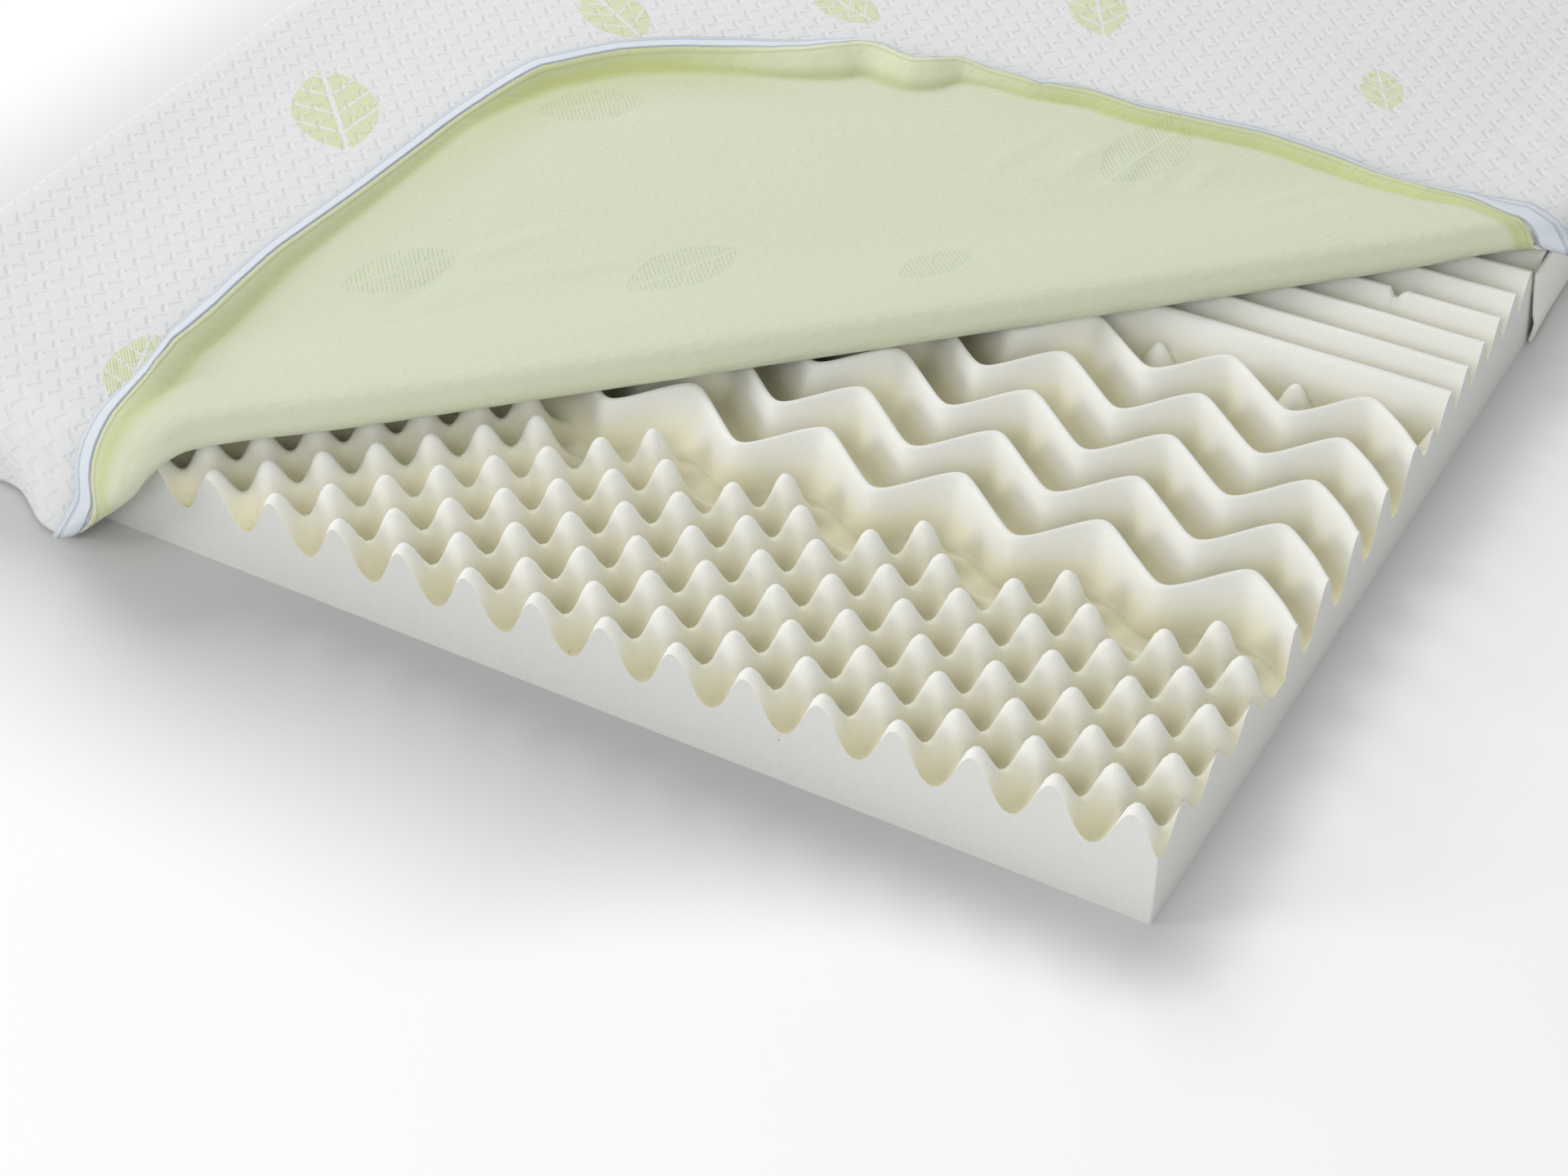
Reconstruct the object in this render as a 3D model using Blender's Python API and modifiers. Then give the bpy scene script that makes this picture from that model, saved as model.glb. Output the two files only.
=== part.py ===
"""A mattress topper lying flat with one corner of its knit cover opened.

The foam core has three kinds of relief on top: round pegs, zigzag ridges and straight ribs.
The cover's upper half lies over it, and its unzipped corner is folded back in a soft roll.

Slab coordinates: x = 0 on the slab's right side (the slab reaches to x = -WIDTH), y = 0 on its
front side, z = 0 on the surface it lies on. Metres.
"""
import bmesh
import bpy
import numpy as np
from functools import lru_cache
from math import pi
from mathutils import Vector

# --- foam core -------------------------------------------------------------------------------
WIDTH = 0.900
LENGTH = 2.000
CREST = 0.0675            # height of the pegs, ridges and ribs, and of the plain covered part
PITCH = 0.0455            # from peg to peg across the slab
ROW_PITCH = 0.0458        # from peg to peg along the slab; rows half a pitch on are set off by half
FIRST_COLUMN = 0.0155     # first pegs from the right side
FIRST_ROW = 0.005         # first pegs from the front side
PEG_VALLEY = 0.032
PEG_SHARPNESS = 1.35      # higher for slimmer pegs
PEG_TIP = 0.25            # share of a peg's height over which its tip is rounded off
PEG_ROWS = 8              # the last row has every second peg only
LAST_PEGS = FIRST_ROW + (PEG_ROWS - 1) * ROW_PITCH / 2
RIDGE_VALLEY = 0.030
FIRST_RIDGE = 0.1965      # middle line of the first zigzag ridge
RIDGE_PITCH = 0.0465
RIDGES = 5
LAST_RIDGE = FIRST_RIDGE + (RIDGES - 1) * RIDGE_PITCH
ZIGZAG = 0.0185           # how far a ridge swings to each side of its middle line
ZIGZAG_ROUNDING = 0.90    # nearer 1 for sharper bends
ZIGZAG_SHIFT = (0.0012, 0.0032)   # its bends stand off to the right by this, and the front ones by more
MINI_PEG_ROW = 0.4025
MINI_PEG_TOP = 0.060
MINI_PEG_RADIUS = 0.019
FIRST_RIB = 0.429
RIB_PITCH = 0.0296
RIB_LAND = 0.002          # half the flat crest of a rib
RIB_DEPTH = 0.026
RELIEF_WIDTH = 0.715      # the relief is cut this far from the exposed corner, and runs out
RELIEF_LENGTH = 0.680     # into a plain top where the cover hides it
RUN_OUT = (0.045, 0.080)  # how far behind the fold it starts to run out, and is gone
RISE = (
    # distance from the right side, how much the front of the top stands higher there
    (0.0, 0.0090), (0.06, 0.0080), (0.11, 0.0060), (0.15, 0.0044), (0.20, 0.0028), (0.24, 0.0014),
    (0.285, 0.0), (0.40, -0.0020), (0.52, -0.0022), (0.60, 0.0),
)
RISE_SHARE = (
    # distance from the front side, share
    (0.0, 1.0), (0.028, 0.75), (0.051, 0.58), (0.074, 0.45), (0.097, 0.37), (0.142, 0.20), (0.20, 0.0),
)

# --- cover -----------------------------------------------------------------------------------
CLOTH = 0.0025
SEAT = 0.0004             # under the cloth, over the crests
EDGE_LOFT = 0.0036        # how much more the cloth stands up near the slab's edges
EDGE_LOFT_WIDTH = 0.070
EDGE_RADIUS = 0.020       # of the cloth's middle over the slab's edge
BORDER_STAND = 0.012      # from the slab's side to the middle of the hanging border
INSET = EDGE_RADIUS - BORDER_STAND
BORDER = 0.0732           # cut length of the border past the slab's edge
FOLD_FRONT = 0.646        # the fold's axis meets the front edge this far from the corner
FOLD_SIDE = 0.613         # and the right edge this far from it
ROLL_RADIUS = 0.011
ROLL_RADIUS_END = 0.0060
ROLL_LINES = 9            # mesh lines round the roll
SLIVER = 0.0018           # mesh edges shorter than this are closed up
FOOT_BEND = 0.009         # the axis bends this far to the corner as it runs down the front border
SIDE_BEND = 0.008         # and this far as it runs down the right border
FLAP_REST = 0.0047        # middle of the flap over the middle of the cloth it lies on
FLAP_SETTLE = 0.110       # it sinks to that over this length behind the roll
FRONT_DRAW = 0.020        # how far the flap's near hem is drawn in, times a share along the slab's front
FRONT_SHARE = (
    # distance from the corner, share
    (0.44, 0.0), (0.50, 0.2), (0.546, 0.6), (0.58, 0.9), (0.62, 1.0), (0.655, 0.85),
    (0.69, 0.25), (0.705, 0.0),
)
SIDE_DRAW = 0.042         # how far its far hem is drawn in, times a share along the slab's side
SIDE_SHARE = (
    # distance from the corner, share
    (0.535, 1.0), (0.570, 1.30), (0.592, 1.70), (0.630, 1.65), (0.720, 0.80), (0.820, 0.0),
)
CORNER_ROUND = 0.300      # distance of the turned-back corner's hem from its middle
CORNER_HEM = (            # and the share of it in each direction, where the hem is drawn in
    # angle from across, reach
    (0, 1.00), (10, 0.90), (22, 0.835), (36, 0.85), (50, 0.92), (60, 0.99),
    (70, 1.03), (80, 1.01), (90, 1.00),
)
HEM_SHIFT = (
    # place along the fold, how far the hem stands further out there
    (-0.530, 0.000), (-0.463, 0.004), (-0.438, 0.016), (-0.412, 0.010), (-0.362, 0.016),
    (-0.300, 0.018), (-0.225, 0.023), (-0.150, 0.018), (-0.062, 0.021), (-0.013, 0.018),
    (0.028, 0.024), (0.040, 0.030), (0.052, 0.029), (0.076, 0.011), (0.088, 0.011), (0.106, 0.019),
    (0.122, 0.010), (0.150, -0.006), (0.175, -0.021), (0.200, -0.012), (0.225, -0.014),
    (0.287, 0.000), (0.325, -0.003), (0.372, -0.018), (0.404, -0.017), (0.418, 0.000),
)
HEM_SHIFT_WIDTH = 0.070   # the shift fades out over this distance from the hem
HEM_STEP = 0.012          # between the points by which distances from the hem are measured
BAND = (
    # place along the fold, rise of the hem over the flap, width of its slope, drop of the tape beyond
    (-0.560, 0.000, 0.010, 0.000), (-0.500, 0.003, 0.008, 0.004), (-0.460, 0.013, 0.016, 0.006),
    (-0.425, 0.012, 0.014, 0.005), (-0.330, 0.008, 0.010, 0.004), (-0.240, 0.005, 0.008, 0.003),
    (-0.180, 0.011, 0.012, 0.001), (-0.040, 0.012, 0.014, -0.001), (0.030, 0.017, 0.018, 0.004),
    (0.094, 0.015, 0.016, 0.011), (0.130, 0.008, 0.010, 0.009), (0.330, 0.007, 0.009, 0.006),
    (0.430, 0.002, 0.009, 0.001), (0.600, 0.000, 0.009, 0.000),
)
FLAP_START = 0.060        # the band rises over this length behind the roll

# --- hanging border --------------------------------------------------------------------------------
CORNER_STAND = 0.0022     # it stands off more round the slab's corners
HEM_TUCK = 0.0080         # it draws in again towards its hem
CORNER_LENGTH = 0.100     # but not this near a corner
FOOT_WIDTH = 0.090        # nor this near the fold's foot
FOOT_FLARE = 0.016        # and beside the foot it stands off more
FOOT_FLARE_FROM = 0.712   # this far from the corner, in the middle of the flare
FOOT_FLARE_WIDTH = 0.052
NEAR_FOLD = (0.78, 0.85)  # the part of the cloth that the fold shapes, across and along the slab

# --- zip tape and lower cover edge -------------------------------------------------------------
TAPE = 0.0012
TAPE_WIDTH = 0.015
TAPE_GAP = 0.0018
TAPE_START = -0.688       # the tape's lower end, at the fold's foot
TAPE_END = 0.600          # its other end, at the fold's right end
EDGE_CLOTH = 0.0020
EDGE_START = 0.598        # the lower cover edge starts here, at the fold's right end
EDGE_START_LENGTH = 0.05  # it leans off the foam over this length
EDGE_SLANT = -0.016       # and its end slants back by this much from foot to top
EDGE_END = 0.840
EDGE_LEAN = (
    # height, how far the cloth's middle stands off the foam at the strip's start
    (0.0015, 0.0026), (0.012, 0.0044), (0.020, 0.0052), (0.028, 0.0036), (0.045, 0.0028), (0.064, 0.0026),
)

FOLD_LINE = Vector((FOLD_FRONT, FOLD_SIDE)).normalized()          # runs from front left to back right
FOLD_NORMAL = Vector((FOLD_SIDE, -FOLD_FRONT)).normalized()       # points to the exposed corner
FOLD_AXIS = FOLD_NORMAL.x * -FOLD_FRONT


def smooth(value, low, high):
    """0 below low, 1 above high, and a smooth step between."""
    step = min(max((value - low) / (high - low), 0.0), 1.0)
    return step * step * (3 - 2 * step)


def blend(first, second, share):
    return first + (second - first) * share


def share_of(value, table):
    """The second column of a table, read at a value of the first."""
    return np.interp(value, *zip(*table))


def clear_scene():
    for obj in list(bpy.data.objects):
        bpy.data.objects.remove(obj)


def material(name, colour, roughness):
    made = bpy.data.materials.new(name)
    made.use_nodes = True
    shader = made.node_tree.nodes["Principled BSDF"]
    shader.inputs["Base Color"].default_value = (*colour, 1.0)
    shader.inputs["Roughness"].default_value = roughness
    shader.inputs["Metallic"].default_value = 0.0
    return made


def add_object(name, bm, collection, finish):
    mesh = bpy.data.meshes.new(name)
    bmesh.ops.recalc_face_normals(bm, faces=bm.faces)
    bm.to_mesh(mesh)
    bm.free()
    obj = bpy.data.objects.new(name, mesh)
    obj.data.materials.append(finish)
    collection.objects.link(obj)
    return obj


def add_thickness(obj, thickness):
    solidify = obj.modifiers.new("Thickness", "SOLIDIFY")
    solidify.thickness = thickness
    solidify.offset = 0.0
    solidify.use_even_offset = False


def grid_of(columns, rows, place):
    """A grid mesh whose points are place(column value, row value)."""
    bm = bmesh.new()
    made = bmesh.ops.create_grid(bm, x_segments=len(columns) - 1, y_segments=len(rows) - 1, size=0.5)
    for vert in made["verts"]:
        column = round((vert.co.x + 0.5) * (len(columns) - 1))
        row = round((vert.co.y + 0.5) * (len(rows) - 1))
        vert.co = place(columns[column], rows[row])
    return bm


# --- the foam's relief -------------------------------------------------------------------------
def behind_fold(x, y):
    """Distance from the fold's axis towards the covered side."""
    return FOLD_AXIS - FOLD_NORMAL.dot((x, y))


def zigzag(x):
    """How far right and back a ridge stands off its middle line, with rounded bends."""
    turn = np.cos(pi * (-x - FIRST_COLUMN - 0.5 * PITCH) / PITCH)
    back = ZIGZAG * np.arcsin(ZIGZAG_ROUNDING * turn) / np.arcsin(ZIGZAG_ROUNDING)
    inside = smooth(-x, 0.0, PITCH / 2) * smooth(WIDTH + x, 0.0, PITCH / 2)
    return inside * (ZIGZAG_SHIFT[0] - ZIGZAG_SHIFT[1] * turn), back


def swing(row):
    """How much of the zigzag the grid's rows follow: all along the ridges, none elsewhere."""
    return smooth(row, LAST_PEGS, FIRST_RIDGE) * (1 - smooth(row, LAST_RIDGE, MINI_PEG_ROW))


def peg_height(x, y):
    across = np.cos(2 * pi * (-x - FIRST_COLUMN) / PITCH)
    along = np.cos(2 * pi * (y - FIRST_ROW) / ROW_PITCH)
    peg = (0.5 + 0.5 * across * along) ** PEG_SHARPNESS
    peg = (peg - max(PEG_TIP - 1 + peg, 0.0) ** 2 / (4 * PEG_TIP)) / (1 - PEG_TIP / 4)
    every_second = 0.5 + 0.5 * np.cos(pi * (-x - FIRST_COLUMN - 0.5 * PITCH) / PITCH)
    last_row = smooth(y, LAST_PEGS - 0.45 * ROW_PITCH, LAST_PEGS - 0.15 * ROW_PITCH)
    peg *= blend(1.0, every_second, last_row) * (1 - smooth(y, LAST_PEGS, LAST_PEGS + ROW_PITCH / 2))
    return blend(PEG_VALLEY, CREST, peg)


def ridge_height(row):
    turns = (row - FIRST_RIDGE) / RIDGE_PITCH
    if not -0.5 < turns < RIDGES - 0.5:
        return RIDGE_VALLEY
    return blend(RIDGE_VALLEY, CREST, (0.5 + 0.5 * np.cos(2 * pi * turns)) ** 1.2)


def rib_height(y):
    if y < FIRST_RIB:
        return blend(RIDGE_VALLEY, CREST, smooth(y, MINI_PEG_ROW, FIRST_RIB - RIB_LAND))
    from_crest = abs((y - FIRST_RIB + RIB_PITCH / 2) % RIB_PITCH - RIB_PITCH / 2)
    slope = max(from_crest - RIB_LAND, 0) / (RIB_PITCH / 2 - RIB_LAND)
    return CREST - RIB_DEPTH * slope


def mini_peg_height(x, y):
    across = (-x - FIRST_COLUMN - 1.6 * PITCH + PITCH) % (2 * PITCH) - PITCH
    distance = np.hypot(across, y - MINI_PEG_ROW) / MINI_PEG_RADIUS
    return blend(RIDGE_VALLEY, MINI_PEG_TOP, 0.5 + 0.5 * np.cos(pi * min(distance, 1.0)))


def foam_height(x, y, row):
    heights = [ridge_height(row)]
    if y < FIRST_RIDGE + ZIGZAG:
        heights.append(peg_height(x, y))
    if y > FIRST_RIDGE + RIDGE_PITCH:
        heights.append(rib_height(y))
        heights.append(mini_peg_height(x, y))
    run_out = smooth(behind_fold(x, y), *RUN_OUT)
    return blend(max(heights), CREST, run_out)


def foam_columns():
    step = PITCH / 4
    columns = list(np.arange(FIRST_COLUMN - step, RELIEF_WIDTH, step))
    return [0.0] + columns + [WIDTH]


def foam_rows():
    peg_step = ROW_PITCH / 4
    ridge_step = RIDGE_PITCH / 4
    rows = [0.0] + list(np.arange(FIRST_ROW, LAST_PEGS + peg_step / 2, peg_step))
    rows += list(np.linspace(LAST_PEGS, FIRST_RIDGE, 4)[1:-1])
    rows += list(np.arange(FIRST_RIDGE, LAST_RIDGE + ridge_step / 2, ridge_step))
    rows += [LAST_RIDGE + ridge_step, MINI_PEG_ROW, FIRST_RIB - 0.012]
    rib = FIRST_RIB
    while rib < RELIEF_LENGTH:
        rows += [rib - RIB_LAND, rib + RIB_LAND, rib + RIB_PITCH / 2]
        rib += RIB_PITCH
    return rows + [LENGTH]


def add_foam_core(collection):
    def place(column, row):
        right, back = zigzag(-column)
        x = right * swing(row) - column
        y = row + back * swing(row)
        return Vector((x, y, foam_height(x, y, row) + share_of(-x, RISE) * share_of(y, RISE_SHARE)))

    bm = grid_of(foam_columns(), foam_rows(), place)
    rim = [edge for edge in bm.edges if edge.is_boundary]
    walls = bmesh.ops.extrude_edge_only(bm, edges=rim)
    for element in walls["geom"]:
        if isinstance(element, bmesh.types.BMVert):
            element.co.z = 0.0
    bmesh.ops.holes_fill(bm, edges=[edge for edge in bm.edges if edge.is_boundary])
    bmesh.ops.dissolve_limit(bm, angle_limit=0.002, verts=bm.verts, edges=bm.edges)
    finish = material("foam", (0.78, 0.77, 0.68), 0.9)
    return add_object("foam_core", bm, collection, finish)


# --- the cover: flat cloth, folded, then draped over the slab -------------------------------------
def draw_in(x, y):
    """Cut coordinates of the cloth: the turned-back corner is rounded, and its hems are drawn in."""
    y += FRONT_DRAW * share_of(-x, FRONT_SHARE) * (1 - smooth(y, -BORDER, 0.03))
    x -= SIDE_DRAW * share_of(y, SIDE_SHARE) * smooth(x, -0.12, BORDER)
    centre = Vector((BORDER - SIDE_DRAW - CORNER_ROUND, -BORDER + CORNER_ROUND))
    across = x - centre.x
    along = centre.y - y
    ring = max(across, along)
    out = Vector((max(across, 0.0), -max(along, 0.0))).normalized()
    drawn = Vector((x, y))
    if across > 0 and along > 0:
        reach = share_of(np.degrees(np.arctan2(along, across)), CORNER_HEM)
        drawn = centre + out * ring * blend(1.0, reach, smooth(ring, 0.05, CORNER_ROUND))
    near_hem = 1 - smooth(CORNER_ROUND - ring, 0.0, HEM_SHIFT_WIDTH)
    return drawn + out * share_of(FOLD_LINE.dot(drawn), HEM_SHIFT) * near_hem


def cut_place(x, y):
    """A point of the flat cloth, whose three other corners are rounded round the slab's."""
    if x > -NEAR_FOLD[0] and y < NEAR_FOLD[1]:
        return draw_in(x, y)
    inner_x = min(max(x, -WIDTH + INSET), -INSET)
    inner_y = min(max(y, INSET), LENGTH - INSET)
    past = Vector((x - inner_x, y - inner_y))
    if abs(past.x) > 0 and abs(past.y) > 0:
        past = past.normalized() * max(abs(past.x), abs(past.y))
    return Vector((inner_x, inner_y)) + past


def roll_radius(along):
    """The roll is full in the middle and tighter where it runs over the slab's edges."""
    full = smooth(along, -0.60, -0.42) * (1 - smooth(along, 0.33, 0.52))
    return blend(ROLL_RADIUS_END, ROLL_RADIUS, full)


@lru_cache
def flap_hem():
    """Points along the flap's hem, on the cut cloth."""
    front = [(x, -BORDER) for x in np.arange(TAPE_START - 0.05, BORDER, HEM_STEP)]
    side = [(BORDER, y) for y in np.arange(-BORDER, TAPE_END + 0.08, HEM_STEP)]
    return np.array([draw_in(x, y) for x, y in front + side])


def hem_distance(x, y):
    """Distance of a point of the cut cloth from the flap's hem, below 0 beyond it."""
    starts = flap_hem()[:-1]
    ways = np.diff(flap_hem(), axis=0)
    offsets = np.array((x, y)) - starts
    along = np.clip((offsets * ways).sum(axis=1) / (ways ** 2).sum(axis=1), 0.0, 1.0)
    distances = np.hypot(*(offsets - ways * along[:, None]).T)
    nearest = np.argmin(distances)
    turn = ways[nearest, 0] * offsets[nearest, 1] - ways[nearest, 1] * offsets[nearest, 0]
    return distances[nearest] if turn > 0 else -distances[nearest]


def band_height(x, y):
    """How much the cloth stands up towards the flap's hem, and how the tape drops beyond it."""
    from_hem = hem_distance(x, y)
    places, *shapes = zip(*BAND)
    rise, width, drop = (np.interp(FOLD_LINE.dot((x, y)), places, shape) for shape in shapes)
    slope = 1 - min(max(from_hem / width, 0.0), 1.0) ** 1.6
    return rise * slope - drop * min(max(-from_hem / TAPE_WIDTH, 0.0), 1.0) ** 1.5


def fold_bend(along):
    """The axis is straight over the slab's top and bends where it runs down its borders."""
    return FOOT_BEND * (1 - smooth(along, -0.52, -0.40)) + SIDE_BEND * smooth(along, 0.36, 0.46)


def fold(x, y):
    """Where a point of the flat cloth lies once the corner is folded back, and how high over the cloth."""
    along = FOLD_LINE.dot((x, y))
    past = FOLD_NORMAL.dot((x, y)) - FOLD_AXIS - fold_bend(along)
    if past <= 0:
        return Vector((x, y)), 0.0
    radius = roll_radius(along)
    half_turn = pi * radius
    foot = Vector((x, y)) - FOLD_NORMAL * past
    if past < half_turn:
        angle = past / radius
        return foot + FOLD_NORMAL * radius * np.sin(angle), radius * (1 - np.cos(angle))
    beyond = past - half_turn
    sunk = smooth(beyond, 0.0, FLAP_SETTLE)
    height = blend(2 * radius, FLAP_REST, sunk) + band_height(x, y) * smooth(beyond, 0.0, FLAP_START)
    return foot - FOLD_NORMAL * beyond, height


def hang(flat, inner, way, hanging):
    """How much further out the border stands than straight down, from how far down it is."""
    to_hem = smooth(hanging, 0.0, BORDER - EDGE_RADIUS)
    if way.y < 0:
        open_end = 1 - smooth(abs(flat.x + FOLD_FRONT + BORDER / 2), BORDER / 2, FOOT_WIDTH)
        flare = 1 - smooth(abs(flat.x + FOOT_FLARE_FROM), 0.0, FOOT_FLARE_WIDTH)
    else:
        open_end = 1 - smooth(abs(flat.y - FOLD_SIDE), BORDER, 2 * FOOT_WIDTH)
        flare = 0.0
    from_ends = sorted((-inner.x, inner.x + WIDTH, inner.y, LENGTH - inner.y))
    at_corner = 1 - smooth(from_ends[1], 0.0, CORNER_LENGTH)
    tuck = HEM_TUCK * (1 - open_end) * (1 - at_corner)
    return (FOOT_FLARE * flare - tuck) * to_hem


def drape(flat, height):
    """A point of the cloth laid over the slab: flat on top, round over the edge, then hanging."""
    inner = Vector((min(max(flat.x, -WIDTH + INSET), -INSET), min(max(flat.y, INSET), LENGTH - INSET)))
    past = flat - inner
    distance = past.length
    way = past.normalized()
    from_edge = min(-inner.x, inner.x + WIDTH, inner.y, LENGTH - inner.y) - INSET
    top = CREST + SEAT + CLOTH / 2 + EDGE_LOFT * (1 - smooth(from_edge, 0.0, EDGE_LOFT_WIDTH))
    angle = min(distance / EDGE_RADIUS, pi / 2)
    hanging = max(distance - EDGE_RADIUS * pi / 2, 0.0)
    slanting = 2 * min(abs(way.x), abs(way.y)) * smooth(distance, 0.0, EDGE_RADIUS / 2)
    height += CORNER_STAND * slanting
    stand = (EDGE_RADIUS + height) * np.sin(angle) + hang(flat, inner, way, hanging)
    z = top - EDGE_RADIUS * (1 - np.cos(angle)) - hanging + height * np.cos(angle)
    place = inner + way * stand
    return Vector((place.x, place.y, z))


def border_lines():
    """Cut distances of the mesh lines past the slab's inset edge, over the edge and down the border."""
    return [EDGE_RADIUS * pi / 6 * step for step in (1, 2, 3)] + [0.048, 0.068, 0.0775, BORDER + INSET]


def cover_columns():
    past = border_lines()
    right = [distance - INSET for distance in reversed(past)]
    middle = list(np.linspace(-INSET, TAPE_START + 0.115, 22))
    middle += list(np.linspace(TAPE_START + 0.092, TAPE_START, 5)) + [-0.735, -0.80]
    left = [-WIDTH + INSET] + [-WIDTH + INSET - distance for distance in past]
    return right + middle + left


def cover_rows():
    past = border_lines()
    front = [INSET - distance for distance in reversed(past)]
    middle = list(np.linspace(INSET, 0.540, 19)) + list(np.linspace(TAPE_END - 0.040, TAPE_END + 0.040, 5))
    middle += [0.68, 0.72, 0.80, 1.05, 1.35, 1.65, 1.90]
    back = [LENGTH - INSET] + [LENGTH - INSET + distance for distance in past]
    return front + middle + back


def bisect_near_fold(bm, point, normal):
    """Add a mesh line to the part of the cloth round the fold."""
    geometry = set()
    for face in bm.faces:
        centre = face.calc_center_median()
        if centre.x > -NEAR_FOLD[0] and centre.y < NEAR_FOLD[1]:
            geometry.update([face], face.edges, face.verts)
    bmesh.ops.bisect_plane(bm, geom=list(geometry), dist=0.0002, plane_co=point, plane_no=normal)


def fold_and_drape(bm):
    """Fold the flat cloth on a plane, then bend it over the slab's edges, with mesh lines at both bends."""
    for line in np.linspace(FOLD_AXIS, FOLD_AXIS + pi * ROLL_RADIUS, ROLL_LINES):
        bisect_near_fold(bm, (FOLD_NORMAL * line).to_3d(), FOLD_NORMAL.to_3d())
    for vert in bm.verts:
        flat, height = fold(vert.co.x, vert.co.y)
        vert.co = (*flat, height)
    for distance in [0.0] + border_lines()[:-1]:
        bisect_near_fold(bm, Vector((distance - INSET, 0, 0)), Vector((1, 0, 0)))
        bisect_near_fold(bm, Vector((0, INSET - distance, 0)), Vector((0, 1, 0)))
    bmesh.ops.dissolve_degenerate(bm, dist=SLIVER, edges=bm.edges)
    bmesh.ops.triangulate(bm, faces=bm.faces)
    for vert in bm.verts:
        vert.co = drape(vert.co.xy, vert.co.z)


def add_cover(collection):
    bm = grid_of(cover_columns(), cover_rows(), lambda x, y: cut_place(x, y).to_3d())
    fold_and_drape(bm)
    finish = material("cover_cloth", (0.86, 0.87, 0.87), 0.85)
    obj = add_object("cover", bm, collection, finish)
    add_thickness(obj, CLOTH)
    return obj


def add_zipper_tape(collection):
    """The tape goes on past the flap's hem, from the fold's foot round the corner to its right end."""
    front = [x for x in reversed(cover_columns()) if x >= TAPE_START]
    side = [y for y in cover_rows() if y <= TAPE_END]
    route = [(x, -BORDER) for x in front] + [(BORDER, y) for y in side[1:]]
    corner = len(front) - 1

    def place(step, offset):
        x, y = route[step]
        x += offset if step >= corner else 0.0
        y -= offset if step <= corner else 0.0
        return cut_place(x, y).to_3d()

    bm = grid_of(range(len(route)), (TAPE_GAP, TAPE_WIDTH / 3, TAPE_WIDTH), place)
    fold_and_drape(bm)
    finish = material("zip_tape", (0.82, 0.86, 0.90), 0.6)
    obj = add_object("zipper_tape", bm, collection, finish)
    add_thickness(obj, TAPE)
    return obj


def add_lower_cover_edge(collection):
    """A strip standing against the slab's side, from under the fold to behind the hanging border."""
    heights = [height for height, stand in EDGE_LEAN]
    seat = EDGE_CLOTH / 2 + SEAT
    lean_end = EDGE_START + EDGE_START_LENGTH

    def place(y, z):
        start = 1 - smooth(y, EDGE_START, lean_end)
        slant = EDGE_SLANT * start * z / heights[-1]
        return Vector((blend(seat, share_of(z, EDGE_LEAN), start), y + slant, z))

    bm = grid_of(list(np.linspace(EDGE_START, lean_end, 5)) + [EDGE_END], heights, place)
    finish = material("lower_cloth", (0.82, 0.82, 0.78), 0.85)
    obj = add_object("lower_cover_edge", bm, collection, finish)
    add_thickness(obj, EDGE_CLOTH)
    return obj


def centre_on_origin(objects):
    """Move the whole model so that its bounding box stands centred over the origin."""
    bpy.context.view_layer.update()
    graph = bpy.context.evaluated_depsgraph_get()
    corners = []
    for obj in objects:
        shape = obj.evaluated_get(graph)
        corners += [shape.matrix_world @ vert.co for vert in shape.data.vertices]
    middle_x = (min(c.x for c in corners) + max(c.x for c in corners)) / 2
    middle_y = (min(c.y for c in corners) + max(c.y for c in corners)) / 2
    for obj in objects:
        obj.location = (-middle_x, -middle_y, 0.0)


def build():
    clear_scene()
    collection = bpy.data.collections.new("mattress_topper")
    bpy.context.scene.collection.children.link(collection)
    makers = (add_foam_core, add_cover, add_zipper_tape, add_lower_cover_edge)
    centre_on_origin([make(collection) for make in makers])


build()
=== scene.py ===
"""Looks of the mattress topper: profiled foam, and its knit cover with one corner folded back.

Places are slab coordinates, as in the part's source: x = 0 on the slab's right side, y = 0 on its
front side, z = 0 on the surface it lies on. Metres. The cloth's pieces are made flat, folded on a
plane and then draped over the slab by the same rules and sizes as the part's solids, on finer grids.
"""
import bmesh
import bpy
import numpy as np
from math import pi, radians
from mathutils import Euler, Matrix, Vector


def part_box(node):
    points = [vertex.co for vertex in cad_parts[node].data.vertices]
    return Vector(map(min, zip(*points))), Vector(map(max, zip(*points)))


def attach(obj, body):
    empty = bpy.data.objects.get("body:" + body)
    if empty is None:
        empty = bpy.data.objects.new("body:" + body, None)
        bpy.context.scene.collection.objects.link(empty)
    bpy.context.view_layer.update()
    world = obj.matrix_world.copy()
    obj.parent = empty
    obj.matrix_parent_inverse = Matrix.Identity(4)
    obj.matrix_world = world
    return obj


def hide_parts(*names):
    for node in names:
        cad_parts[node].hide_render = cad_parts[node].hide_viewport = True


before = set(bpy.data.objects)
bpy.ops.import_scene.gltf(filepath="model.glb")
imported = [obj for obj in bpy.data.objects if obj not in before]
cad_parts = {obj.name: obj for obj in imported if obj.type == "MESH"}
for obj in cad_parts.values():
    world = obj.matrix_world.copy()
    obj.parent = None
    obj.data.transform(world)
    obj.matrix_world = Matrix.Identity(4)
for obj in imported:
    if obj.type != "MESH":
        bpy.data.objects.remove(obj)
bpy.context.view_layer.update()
foam_low, foam_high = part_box("foam_core")
SLAB = Vector((foam_high.x, foam_low.y, 0.0))  # the slab's front right corner, in the row's frame

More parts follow.
